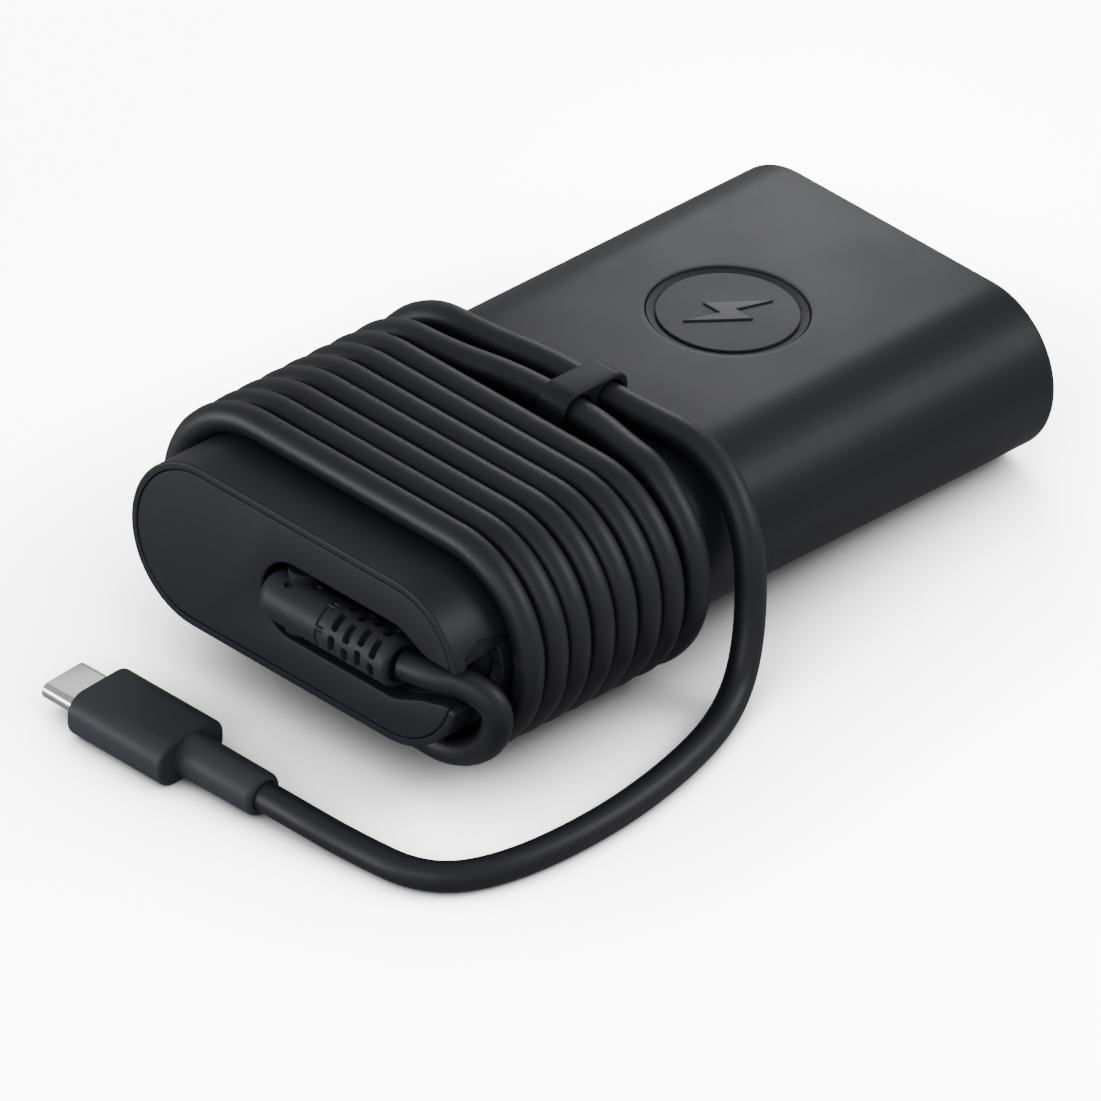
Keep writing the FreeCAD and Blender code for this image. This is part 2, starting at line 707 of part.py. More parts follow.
def along_x_long(edge):
    return edge.BoundBox.YLength < 1e-4 and edge.BoundBox.ZLength < 1e-4


def make_plug():
    """USB-C plug: moulded grip, its sleeve, the steel shell and what the shell holds."""
    grip = new_body("plug_overmould")
    profile = new_sketch(grip, "YZ", "plug_front")
    plug_profile(profile, "0")
    pad(grip, profile, "plug_length")
    round_edges(grip, "plug_round", along_x_long)
    front, back = number("plug_front"), number("plug_front + plug_length")
    ends = [front, back]
    round_edges(grip, "0.5", lambda edge: edge.BoundBox.XLength < 1e-4
                and min(abs(edge.BoundBox.XMin - end) for end in ends) < 1e-4)
    throat = new_sketch(grip, "YZ", "plug_front")
    stadium(throat, "plug_side", PLUG_Z, "shell_width", "shell_height")
    pocket(grip, throat, "shell_root + 0.1", True)
    room = new_sketch(grip, "YZ", "plug_front + shell_root")
    rectangle(room, "plug_side", PLUG_Z, "9", "3.6")
    pocket(grip, room, "plug_length - shell_root - 1.4", True)
    lay(grip, "plug_overmould")

    sleeve = new_body("plug_strain_relief")
    barrel = new_sketch(sleeve, "YZ", "plug_front + plug_length")
    circle(barrel, "plug_side", PLUG_Z, "plug_relief_radius")
    pad(sleeve, barrel, "plug_relief_length")
    tip = number("plug_front + plug_length + plug_relief_length")
    round_edges(sleeve, "0.6", lambda edge: edge.BoundBox.XMin > tip - 1e-3)
    lay(sleeve, "plug_strain_relief")

    shell = new_body("plug_shell")
    outer = new_sketch(shell, "YZ", "plug_front - shell_length")
    stadium(outer, "plug_side", PLUG_Z, "shell_width", "shell_height")
    pad(shell, outer, "shell_length + shell_root")
    mouth = new_sketch(shell, "YZ", "plug_front - shell_length")
    stadium(mouth, "plug_side", PLUG_Z, "shell_width - 2 * shell_wall", "shell_height - 2 * shell_wall")
    pocket(shell, mouth, "shell_length + shell_root", True)
    lay(shell, "plug_shell")

    holder = new_body("plug_insulator")
    block_sketch = new_sketch(holder, "YZ", "plug_front - shell_length + 0.5")
    stadium(block_sketch, "plug_side", PLUG_Z, "shell_width - 2 * shell_wall - 0.04",
            "shell_height - 2 * shell_wall - 0.04")
    pad(holder, block_sketch, "shell_length + shell_root - 0.5")
    slot = new_sketch(holder, "YZ", "plug_front - shell_length + 0.5")
    rectangle(slot, "plug_side", PLUG_Z, "6.9", "1.1")
    pocket(holder, slot, "5.6", True)
    lay(holder, "plug_insulator")

    for node, side in (("plug_contacts_upper", 1), ("plug_contacts_lower", -1)):
        fingers = []
        low = "0.32" if side > 0 else "-0.52"
        for index in range(12):
            across = "plug_side + %.3f" % ((index - 5.5) * 0.5 - 0.1)
            fingers.append(block("%s_%d" % (node, index), "plug_front - shell_length + 1.4", across,
                                 "%s + %s" % (PLUG_Z, low), "4.4", "0.2", "0.2"))
        lay(group(node, fingers), node)

    card = block("card", "plug_front + shell_root", "plug_side - 4.2", "%s - 0.4" % PLUG_Z, "7.5", "8.4", "0.8")
    lay(group("plug_board", [card]), "plug_board")
    chips = [
        block("marker_chip", "plug_front + shell_root + 2", "plug_side - 1.2", "%s + 0.4" % PLUG_Z,
              "2.4", "2.4", "0.8"),
        block("marker_capacitor", "plug_front + shell_root + 5", "plug_side + 1.8", "%s + 0.4" % PLUG_Z,
              "1.0", "0.6", "0.5"),
    ]
    lay(group("plug_marker_chip", chips), "plug_marker_chip")


# ---------------------------------------------------------------- electronics

BOARD_TOP = "board_level + board_thickness"


def single(node, feature):
    """A node made of one primitive."""
    stand(group(node, [feature]), node)


def from_front(distance):
    return "%s - case_length" % distance


def make_boards():
    """Main board, the upright control card on it, and the sheets and spreaders above and below."""
    length = "board_front - board_rear"
    single("main_board", block("fr4", "-board_width / 2", "-board_front", "board_level",
                               "board_width", length, "board_thickness"))
    single("control_card", block("card_fr4", "-22", from_front("47"), BOARD_TOP, "1.0", "22", "11.5"))
    single("control_chip", block("chip_body", "-21", from_front("55"), BOARD_TOP + " + 4", "1.1", "5", "5"))
    single("insulation_sheet_lower", block("sheet_low", "-board_width / 2 + 1.5", "-board_front", "3.4",
                                           "board_width - 3", length, "0.4"))
    single("heat_spreader_lower", block("spread_low", "-20", from_front("16"), "2.3", "40", "72", "0.8"))
    single("insulation_sheet_upper", block("sheet_up", "-20", from_front("15"), "21.4", "40", "76", "0.4"))
    single("heat_spreader_upper", block("spread_up", "-19", from_front("16"), "21.9", "38", "72", "0.7"))


def make_mains_side():
    """From the inlet: fuse, filter capacitor, common-mode choke, rectifier, power-factor choke."""
    fuse = rod("fuse_tube", "16", from_front("73"), BOARD_TOP + " + 2.6", "2.5", "14", "y")
    single("fuse", fuse)
    single("x_capacitor", block("film_box", "-20", from_front("74"), BOARD_TOP, "17", "8", "13"))
    single("y_capacitor", rod("ceramic_disc", "18", from_front("69"), BOARD_TOP + " + 4.4", "4.2", "3.2", "y"))
    rim = rod("choke_rim", "5.5", from_front("84"), BOARD_TOP, "7.4", "7", "z")
    eye = rod("choke_eye", "5.5", from_front("84"), BOARD_TOP, "3.6", "7", "z")
    stand(less("choke_core", rim, eye), "choke_core")
    coils = [rod("choke_coil_%d" % i, "5.5 + %d * 1.7" % side, from_front("84"), BOARD_TOP + " + 7",
                 "1.6", "3.4", "z") for i, side in enumerate((-3, 3))]
    stand(group("choke_windings", coils), "choke_windings")
    single("bridge_rectifier", block("bridge_body", "-20", from_front("85"), BOARD_TOP, "4", "6", "10"))
    single("power_factor_choke", block("pfc_body", "-8.5", from_front("57"), BOARD_TOP, "17", "15.5", "13.5"))


def make_primary_side():
    """Bulk capacitors, the switching transistors on their heatsink and the planar transformer."""
    cans = [rod("bulk_can_%d" % i, str(x), from_front("46"), BOARD_TOP + " + 6.6", "6.4", "22", "y")
            for i, x in enumerate((17.0,))]
    stand(group("bulk_capacitor", cans), "bulk_capacitor")
    single("primary_heatsink", block("fin", "-15.2", from_front("46"), BOARD_TOP, "1.4", "25", "13"))
    switches = [block("switch_%d" % i, "-17.4", from_front(str(48 + 11 * i)), BOARD_TOP + " + 2", "2.2", "8", "9")
                for i in range(2)]
    stand(group("switching_transistors", switches), "switching_transistors")
    core = block("core_block", "-12", from_front("22"), BOARD_TOP, "24", "22", "14.6")
    window = block("core_window", "-8", from_front("21"), BOARD_TOP + " + 2.6", "16", "24", "9.4")
    limb = block("core_limb", "-3", from_front("22"), BOARD_TOP + " + 2.6", "6", "22", "9.4")
    stand(joined("transformer_core", [less("core_frame", core, window), limb]), "transformer_core")
    around = block("winding_block", "-7.6", from_front("19.5"), BOARD_TOP + " + 3", "15.2", "27", "8.6")
    hole = block("winding_hole", "-3.6", from_front("21.4"), BOARD_TOP, "7.2", "23.2", "20")
    stand(less("transformer_windings", around, hole), "transformer_windings")
    former = block("former_block", "-3.5", from_front("21.5"), BOARD_TOP + " + 2.8", "7", "23", "9")
    former_hole = block("former_hole", "-3.1", from_front("21.9"), BOARD_TOP, "6.2", "22.2", "20")
    stand(less("transformer_bobbin", former, former_hole), "transformer_bobbin")
    single("optocoupler", block("opto_body", "14.4", from_front("37.5"), BOARD_TOP, "6.4", "4.6", "3.4"))


def make_output_side():
    """Synchronous rectifiers, output capacitors, the port controller and the leads to the cord."""
    chips = [block("sync_%d" % i, "-21", from_front(str(24 + 8 * i)), BOARD_TOP, "6", "5", "1.1")
             for i in range(2)]
    stand(group("sync_rectifiers", chips), "sync_rectifiers")
    cans = [rod("output_can_%d" % i, "17.5", from_front(str(17.6 + 8.4 * i)), BOARD_TOP, "4.0", "11.5", "z")
            for i in range(2)]
    stand(group("output_capacitors", cans), "output_capacitors")
    single("port_controller", block("port_chip", "-21", from_front("15"), BOARD_TOP, "5", "5", "0.9"))
    pads = [block("pad_primary", "-11", from_front("23"), BOARD_TOP + " + 14.6", "22", "20", "0.8"),
            block("pad_choke", "-7.5", from_front("58"), BOARD_TOP + " + 13.5", "15", "13", "1.9")]
    stand(group("thermal_pads", pads), "thermal_pads")
    single("inlet_lead_line", rod("lead_l", "-inlet_side - 6", from_front("91.5"), BOARD_TOP + " + 1",
                                  "0.9", "2.6", "y"))
    single("inlet_lead_neutral", rod("lead_n", "inlet_side + 6", from_front("91.5"), BOARD_TOP + " + 1",
                                     "0.9", "2.6", "y"))
    single("dc_lead_positive", rod("lead_p", "6", from_front("11.4"), BOARD_TOP + " + 2", "0.9", "9", "y"))
    single("dc_lead_negative", rod("lead_m", "9", from_front("11.4"), BOARD_TOP + " + 2", "0.9", "9", "y"))


# ---------------------------------------------------------------- build, test and export

def build():
    make_sleeve()
    make_front_cap()
    make_rear_cap()
    make_inlet()
    make_badge()
    make_label()
    make_swivel()
    make_clip()
    make_lead()
    make_coil()
    make_tail()
    make_plug()
    make_boards()
    make_mains_side()
    make_primary_side()
    make_output_side()
    DOC.recompute()


def test_document():
    """Raise if any object failed, or any sub-part has no valid solid."""
    for feature in DOC.Objects:
        if "Invalid" in feature.State or "Error" in feature.State:
            raise RuntimeError("%s (%s) is in state %s" % (feature.Name, feature.Label, feature.State))
    for feature in PARTS:
        shape = feature.Shape
        if shape.isNull() or not shape.isValid() or not shape.Solids:
            raise RuntimeError(feature.Label + " has no valid solid")


def export():
    os.makedirs("parts", exist_ok=True)
    for feature in PARTS:
        feature.Shape.exportStep(os.path.join("parts", feature.Label + ".step"))
    print("%d sub-parts, tilt %.3f degrees, rear edge at y %.3f" % (len(PARTS), TILT_ANGLE, number(REAR_Y)))


build()
test_document()
export()
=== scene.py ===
"""Slim laptop power adapter with its output cord wound round it, as an add-on that builds the finished model.

Shapes are worked out in millimetres in case axes and put on the table as metres when a mesh is made.
Case axes: x runs to the right as seen from the cord end, y is 0 at the rear face and negative towards
the cord end, and z is 0 on the underside.  The wound cord props the cord end up, which tilts the case.
"""

import json
import math
from types import SimpleNamespace

import bpy
import numpy as np
from mathutils import Matrix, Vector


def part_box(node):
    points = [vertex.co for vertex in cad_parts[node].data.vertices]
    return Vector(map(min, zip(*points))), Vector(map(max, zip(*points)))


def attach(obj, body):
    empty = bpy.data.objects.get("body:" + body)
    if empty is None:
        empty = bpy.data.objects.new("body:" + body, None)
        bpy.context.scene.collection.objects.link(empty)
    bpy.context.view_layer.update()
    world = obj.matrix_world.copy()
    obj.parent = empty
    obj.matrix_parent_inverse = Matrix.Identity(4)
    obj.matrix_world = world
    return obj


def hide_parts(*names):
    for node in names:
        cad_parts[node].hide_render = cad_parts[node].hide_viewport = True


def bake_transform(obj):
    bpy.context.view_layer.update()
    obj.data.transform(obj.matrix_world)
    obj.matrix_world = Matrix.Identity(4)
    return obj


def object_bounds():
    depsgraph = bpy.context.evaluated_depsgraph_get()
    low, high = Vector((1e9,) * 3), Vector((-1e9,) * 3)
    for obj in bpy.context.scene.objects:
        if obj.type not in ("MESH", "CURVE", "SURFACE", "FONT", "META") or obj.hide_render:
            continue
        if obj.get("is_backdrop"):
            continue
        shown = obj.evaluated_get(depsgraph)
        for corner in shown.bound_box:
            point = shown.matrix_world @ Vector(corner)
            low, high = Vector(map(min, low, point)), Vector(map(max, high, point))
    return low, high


bl_info = {
    "name": "Laptop power adapter",
    "version": (1, 0, 0),
    "blender": (4, 5, 0),
    "location": "3D View > Sidebar > Adapter",
    "description": "Builds a slim power adapter with a wound output cord",
    "category": "Object",
}

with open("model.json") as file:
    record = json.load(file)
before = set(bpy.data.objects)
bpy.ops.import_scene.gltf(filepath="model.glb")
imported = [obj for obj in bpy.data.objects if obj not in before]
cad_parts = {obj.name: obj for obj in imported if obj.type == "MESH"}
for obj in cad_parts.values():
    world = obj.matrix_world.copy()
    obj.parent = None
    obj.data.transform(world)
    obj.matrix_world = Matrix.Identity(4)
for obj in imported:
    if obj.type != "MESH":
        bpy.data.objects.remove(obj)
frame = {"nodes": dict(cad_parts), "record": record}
CAD_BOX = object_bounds()

MM = 0.001
MOUNTS = {mount["name"]: mount for mount in frame["record"]["mounts"]}
COLOURS = {row["slot"]: row["base_color"] for row in frame["record"]["materials"]}
REARWARD = np.array(MOUNTS["mains_inlet"]["axis"], dtype=float)
UPWARD = np.array([0.0, -REARWARD[2], REARWARD[1]])
INLET_CENTRE = np.array(MOUNTS["mains_inlet"]["pos_m"]) / MM
UNDERSIDE = np.array(MOUNTS["underside"]["pos_m"]) / MM
HALF_HEIGHT = round(float((INLET_CENTRE - UNDERSIDE) @ UPWARD), 1)
ORIGIN = INLET_CENTRE - HALF_HEIGHT * UPWARD


def node_size(node):
    low, high = (np.array(corner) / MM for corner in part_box(node))
    return high - low


CASE_WIDTH = round(float(node_size("sleeve")[0]), 1)
CASE_HEIGHT = 2 * HALF_HEIGHT
CASE_LENGTH = float(round((node_size("sleeve")[1] - CASE_HEIGHT * UPWARD[1]) / REARWARD[1]))
CORD_DIAMETER = 4.3


# ---------------------------------------------------------------- settings

def length(name, description, millimetres):
    return bpy.props.FloatProperty(name=name, description=description, default=millimetres * MM,
                                   min=0.0, unit="LENGTH", precision=5)


def colour(name, description, shade):
    return bpy.props.FloatVectorProperty(name=name, description=description, default=shade,
                                         size=3, min=0.0, max=1.0, subtype="COLOR")


class AdapterCaseSizes(bpy.types.PropertyGroup):
    """Sizes of the case and of what is let into it."""
    width: length("Width", "Case width across both rounded sides", CASE_WIDTH)
    length: length("Length", "Case length from the cord end to the mains end", CASE_LENGTH)
    height: length("Height", "Case height, which is also the diameter of its sides", CASE_HEIGHT)
    wall: length("Wall", "Thickness of the sleeve", 2.0)
    lip: length("Lip", "Thickness of the sleeve where an end cap sits in it", 1.1)
    mouth: length("Mouth depth", "How far an end cap reaches into the sleeve", 3.0)
    gap: length("Seam", "Gap between an end cap and the sleeve", 0.12)
    front_round: length("Front rounding", "Rounding of the sleeve's edge at the cord end", 0.3)
    rear_round: length("Rear rounding", "Rounding of the sleeve's edge at the mains end", 0.7)
    badge_radius: length("Badge recess", "Radius of the round recess on the top", 11.1)
    badge_place: length("Badge place", "Distance of the badge's middle from the rear face", 32.5)
    badge_depth: length("Badge depth", "Depth of the recess on the top", 0.9)
    label_width: length("Label width", "Width of the label recess on the underside", 34.0)
    label_length: length("Label length", "Length of the label recess on the underside", 40.0)
    label_place: length("Label place", "Distance of the label's middle from the rear face", 30.0)
    label_depth: length("Label depth", "Depth of the label recess", 0.3)


class AdapterPocketSizes(bpy.types.PropertyGroup):
    """Sizes of the pocket in the front cap and of the strain relief that lies in it."""
    height: length("Pocket height", "Height of the pocket round the strain relief", 11.4)
    depth: length("Pocket depth", "Depth of the pocket under the front face", 9.4)
    throat: length("Throat height", "Height of the narrow throat where the cord leaves", 6.5)
    jaw_rise: length("Jaw rise", "How far the tip of the lower jaw rises into the throat", 0.75)
    relief_radius: length("Relief radius", "Radius of the strain relief", 3.65)
    relief_inset: length("Relief inset", "Distance of the relief's axis behind the front face", 0.6)
    relief_reach: length("Relief reach", "Distance of the relief's cord end right of the middle", 19.8)
    slot_width: length("Slot width", "Width of one flex slot", 0.95)
    slot_span: length("Slot span", "Span of one flex slot round the relief", 2.9)
    slot_pitch: length("Slot pitch", "Distance between neighbouring flex slots", 2.43)
    slot_depth: length("Slot depth", "Depth of a flex slot", 1.15)


class AdapterCordSizes(bpy.types.PropertyGroup):
    """Sizes of the output cord and of its winding."""
    diameter: length("Diameter", "Cord diameter", CORD_DIAMETER)
    pitch: length("Pitch", "Distance between neighbouring turns", 4.4)
    first: length("First turn", "Distance of the first turn behind the front face", 11.3)
    slack: length("Slack", "How far the turns hang under the case", 0.25)
    turns: bpy.props.IntProperty(name="Neat turns", description="Close turns before the clip",
                                 default=7, min=1)


class AdapterFinishColours(bpy.types.PropertyGroup):
    """Colours of the outer finishes."""
    case_shell: colour("Sleeve", "Matt plastic of the sleeve", (0.0165, 0.0172, 0.0225))
    end_caps: colour("End caps", "Matt plastic of the end caps", (0.0180, 0.0187, 0.0245))
    cord_jacket: colour("Cord", "Satin jacket of the cord", (0.0105, 0.0110, 0.0150))
    relief_rubber: colour("Strain relief", "Rubber of the strain relief", (0.0260, 0.0270, 0.0340))
    clip_rubber: colour("Clip", "Rubber of the clip", (0.0140, 0.0146, 0.0190))
    badge: colour("Badge", "Smooth plastic of the badge", (0.0165, 0.0172, 0.0225))
    badge_symbol: colour("Badge bolt", "Raised bolt on the badge", (0.0300, 0.0310, 0.0370))
    steel: colour("Swivel pin", "Blackened steel of the swivel's pin", (0.0150, 0.0150, 0.0170))
    knuckle: colour("Swivel knuckle", "Hard plastic inside the strain relief", (0.0150, 0.0155, 0.0190))
    plug_grip: colour("Plug grip", "Soft plastic of the plug", (0.0420, 0.0432, 0.0520))


class AdapterStageSettings(bpy.types.PropertyGroup):
    """Camera and floor."""
    azimuth: bpy.props.FloatProperty(name="Azimuth", description="Camera direction round the adapter",
                                     default=math.radians(44.58), subtype="ANGLE")
    elevation: bpy.props.FloatProperty(name="Elevation", description="Camera height angle",
                                       default=math.radians(35.40), subtype="ANGLE")
    distance: length("Distance", "Camera distance from the point it aims at", 6000.0)
    aim: bpy.props.FloatVectorProperty(name="Aim", description="Point at the middle of the view", size=3,
                                       default=(0.000127, -0.008541, 0.0049), subtype="TRANSLATION")
    scale: length("Frame width", "Width of the view at the aim point", 146.683)
    floor: bpy.props.FloatVectorProperty(name="Floor", description="Floor colour", size=3,
                                         default=(0.45, 0.45, 0.4525), subtype="COLOR")
    floor_lift: bpy.props.FloatProperty(name="Floor lift", default=30.0, min=1.0,
                                        description="How much paler the floor looks than it lights the adapter")


def in_mm(settings):
    """A settings group's lengths in millimetres, under their own names."""
    names = type(settings).__annotations__
    values = {name: getattr(settings, name) for name in names}
    return SimpleNamespace(**{n: v / MM if isinstance(v, float) else v for n, v in values.items()})


def case_sizes():
    return in_mm(bpy.context.scene.adapter_case)


def pocket_sizes():
    return in_mm(bpy.context.scene.adapter_pocket)


def cord_sizes():
    return in_mm(bpy.context.scene.adapter_cord)


# ---------------------------------------------------------------- shapes

def on_case(points):
    """Points in case axes as metres on the table: origin + x right + y rearward + z upward."""
    points = np.asarray(points, dtype=float)
    placed = ORIGIN + points[..., 1:2] * REARWARD + points[..., 2:3] * UPWARD
    placed[..., 0] += points[..., 0]
    return placed * MM


def on_table(points):
    """Points above the table in metres, their y counted from below the case's front edge."""
    points = np.asarray(points, dtype=float)
    return (points + [0.0, ORIGIN[1] - CASE_LENGTH, 0.0]) * MM


def smooth_step(value):
    """3 v squared less 2 v cubed, with v held between 0 and 1."""
    value = np.clip(value, 0.0, 1.0)
    return value * value * (3 - 2 * value)


def section(s, inset, case):
    """Point (x, z) of the case's outline at arc length s, clockwise from the middle of the top.

    The outline is two straight runs and two half circles.  A core point moves along the straight runs
    while a spoke of half the height, less the inset, turns by the arc length over the radius.
    """
    radius = case.height / 2
    flat = case.width - case.height
    turn = math.pi * radius
    stops = np.cumsum([0, flat / 2, turn, flat, turn, flat / 2])
    s = np.mod(s, stops[-1])
    core = np.interp(s, stops, [0, flat / 2, flat / 2, -flat / 2, -flat / 2, 0])
    angle = np.interp(s, stops, [0, 0, math.pi, math.pi, 2 * math.pi, 2 * math.pi])
    return core + (radius - inset) * np.sin(angle), radius + (radius - inset) * np.cos(angle)


def perimeter(case):
    return 2 * (case.width - case.height) + math.pi * case.height


def arc(centre, radius, start, stop, count):
    """Points on a circle from one angle to another, in degrees."""
    angle = np.radians(np.linspace(start, stop, count))
    return np.stack([centre[0] + radius * np.cos(angle), centre[1] + radius * np.sin(angle)], -1)


def rounded_rectangle(centre, width, height, radius, count=8):
    """Four quarter circles joined by straight runs, anticlockwise."""
    reach = np.array([width / 2 - radius, height / 2 - radius])
    signs = [(1, 1), (-1, 1), (-1, -1), (1, -1)]
    return np.vstack([arc(np.add(centre, reach * sign), radius, 90 * i, 90 * i + 90, count)
                      for i, sign in enumerate(signs)])


def inset_loop(loop, distance):
    """Anticlockwise loop moved inwards: each point goes along the mitre of its two edges."""
    edge = np.roll(loop, -1, 0) - loop
    edge /= np.maximum(np.linalg.norm(edge, axis=1, keepdims=True), 1e-9)
    normal = np.stack([-edge[:, 1], edge[:, 0]], -1)
    before = np.roll(normal, 1, 0)
    mitre = (normal + before) / (1 + np.sum(normal * before, 1, keepdims=True))
    return loop + mitre * distance


def round_stations(start, stop, start_round, stop_round, count=4):
    """Stations (height, inset) of an extrusion: a quarter circle at each end, straight in between."""
    angle = np.linspace(0, math.pi / 2, count)
    rise = 1 - np.sin(angle)
    inward = 1 - np.cos(angle)
    sign = math.copysign(1, stop - start)
    first = np.stack([start + sign * start_round * rise, start_round * inward], -1)[::-1]
    last = np.stack([stop - sign * stop_round * rise, stop_round * inward], -1)
    return np.vstack([first, last])


def new_object(name, data):
    """Object in the scene's own collection."""
    made = bpy.data.objects.new(name, data)
    bpy.context.scene.collection.objects.link(made)
    return made


AXES = {"x": (1, 2, 0), "y": (0, 2, 1), "z": (0, 1, 2)}


def extruded(loop, stations, axis):
    """Rings of a loop carried along an axis: at each station (height, inset) the loop is inset there."""
    across, up, along = AXES[axis]
    rings = np.zeros((len(stations), len(loop), 3))
    for ring, (height, inset) in zip(rings, stations):
        ring[:, [across, up]] = inset_loop(loop, inset)
        ring[:, along] = height
    return rings


def turned(profile, centre, axis, count=64):
    """Rings of a profile (height, radius) turned about an axis through the centre."""
    across, up, along = AXES[axis]
    profile = np.asarray(profile, dtype=float)
    angle = np.linspace(0, 2 * math.pi, count, endpoint=False)
    rings = np.zeros((len(profile), count, 3))
    rings[..., across] = centre[0] + profile[:, 1:] * np.cos(angle)
    rings[..., up] = centre[1] + profile[:, 1:] * np.sin(angle)
    rings[..., along] = profile[:, :1]
    return rings


def skin(rings, loop_rows=False):
    """Vertices and faces of rings joined row to row: round on itself, or closed by a face at each end."""
    rows, columns = rings.shape[:2]
    index = np.arange(rows * columns).reshape(rows, columns)
    upper = np.roll(index, -1, 0)
    if not loop_rows:
        index, upper = index[:-1], upper[:-1]
    quads = np.stack([index, np.roll(index, -1, 1), np.roll(upper, -1, 1), upper], -1).reshape(-1, 4)
    faces = quads.tolist()
    if not loop_rows:
        faces.append(list(range(columns))[::-1])
        faces.append(list(range((rows - 1) * columns, rows * columns)))
    return rings.reshape(-1, 3), faces


def inside_out(vertices, faces):
    """True where the signed volume, a sum of triple products over a fan of each face, is negative."""
    volume = 0.0
    for size in {len(face) for face in faces}:
        corner = vertices[np.array([face for face in faces if len(face) == size])]
        for i in range(1, size - 1):
            volume += np.sum(corner[:, 0] * np.cross(corner[:, i], corner[:, i + 1]))
    return volume < 0


SHARP_ANGLE = math.radians(38)


def piece(name, skins, slot, body, nodes=(), place=on_case):
    """Mesh object of one or more closed skins, faces outwards, with its finish, body and CAD nodes."""
    vertices = []
    faces = []
    for points, polygons in skins:
        points = place(points)
        if inside_out(points, polygons):
            polygons = [polygon[::-1] for polygon in polygons]
        start = sum(len(block) for block in vertices)
        vertices.append(points)
        faces += [[corner + start for corner in polygon] for polygon in polygons]
    mesh = bpy.data.meshes.new(name)
    mesh.from_pydata(np.vstack(vertices).tolist(), [], faces)
    mesh.polygons.foreach_set("use_smooth", np.array([len(face) == 4 for face in faces]))
    mesh.set_sharp_from_angle(angle=SHARP_ANGLE)
    mesh.update()
    return dressed(new_object(name, mesh), slot, body, nodes)


def dressed(made, slot, body, nodes=()):
    """Gives a piece its finish and slot, what it rides on and the CAD nodes it stands for."""
    made.data.materials.append(finish(slot))
    if body:
        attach(made, body)
    if nodes:
        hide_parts(*nodes)
    return made


# ---------------------------------------------------------------- finishes

def add(tree, kind, settings=None, **inputs):
    """Adds a node, sets its settings, and links or sets its inputs by socket name."""
    node = tree.nodes.new(kind)
    for key, value in (settings or {}).items():
        setattr(node, key, value)
    for key, value in inputs.items():
        socket = node.inputs[key.replace("_", " ")]
        if isinstance(value, bpy.types.NodeSocket):
            tree.links.new(value, socket)
        else:
            socket.default_value = value
    return node


def maths(tree, operation, *values):
    """One Math node on sockets and numbers."""
    node = tree.nodes.new("ShaderNodeMath")
    node.operation = operation
    for socket, value in zip(node.inputs, values):
        if isinstance(value, bpy.types.NodeSocket):
            tree.links.new(value, socket)
        else:
            socket.default_value = value
    return node.outputs[0]


def effect(name, inputs, outputs):
    """Empty node group with named inputs (kind, default) and outputs, and its two end nodes."""
    tree = bpy.data.node_groups.new(name, "ShaderNodeTree")
    for key, (kind, default) in inputs.items():
        socket = tree.interface.new_socket(key, in_out="INPUT", socket_type=kind)
        if default is not None:
            socket.default_value = default
    for key, kind in outputs.items():
        tree.interface.new_socket(key, in_out="OUTPUT", socket_type=kind)
    return tree, tree.nodes.new("NodeGroupInput").outputs, tree.nodes.new("NodeGroupOutput").inputs


FLOAT, VECTOR, TINT = "NodeSocketFloat", "NodeSocketVector", "NodeSocketColor"


def moulded_grain():
    """Fine spark-eroded grain: height from two noises and a roughness that wanders with a third."""
    name = "Moulded grain"
    if name in bpy.data.node_groups:
        return bpy.data.node_groups[name]
    tree, given, out = effect(name, {
        "Place": (VECTOR, None), "Grain": (FLOAT, 0.2), "Roughness": (FLOAT, 0.5), "Spread": (FLOAT, 0.08),
    }, {"Roughness": FLOAT, "Height": FLOAT})
    scale = maths(tree, "DIVIDE", 1000.0, given["Grain"])
    fine = add(tree, "ShaderNodeTexNoise", Vector=given["Place"], Scale=scale, Detail=2.0).outputs["Fac"]
    coarse_scale = maths(tree, "MULTIPLY", scale, 0.31)
    coarse = add(tree, "ShaderNodeTexNoise", Vector=given["Place"], Scale=coarse_scale,
                 Detail=1.0).outputs["Fac"]
    wander = add(tree, "ShaderNodeTexNoise", Vector=given["Place"], Scale=90.0, Detail=4.0).outputs["Fac"]
    height = maths(tree, "MULTIPLY_ADD", coarse, 0.45, fine)
    centred = maths(tree, "SUBTRACT", wander, 0.5)
    roughness = maths(tree, "MULTIPLY_ADD", centred, given["Spread"], given["Roughness"])
    tree.links.new(roughness, out["Roughness"])
    tree.links.new(height, out["Height"])
    return tree


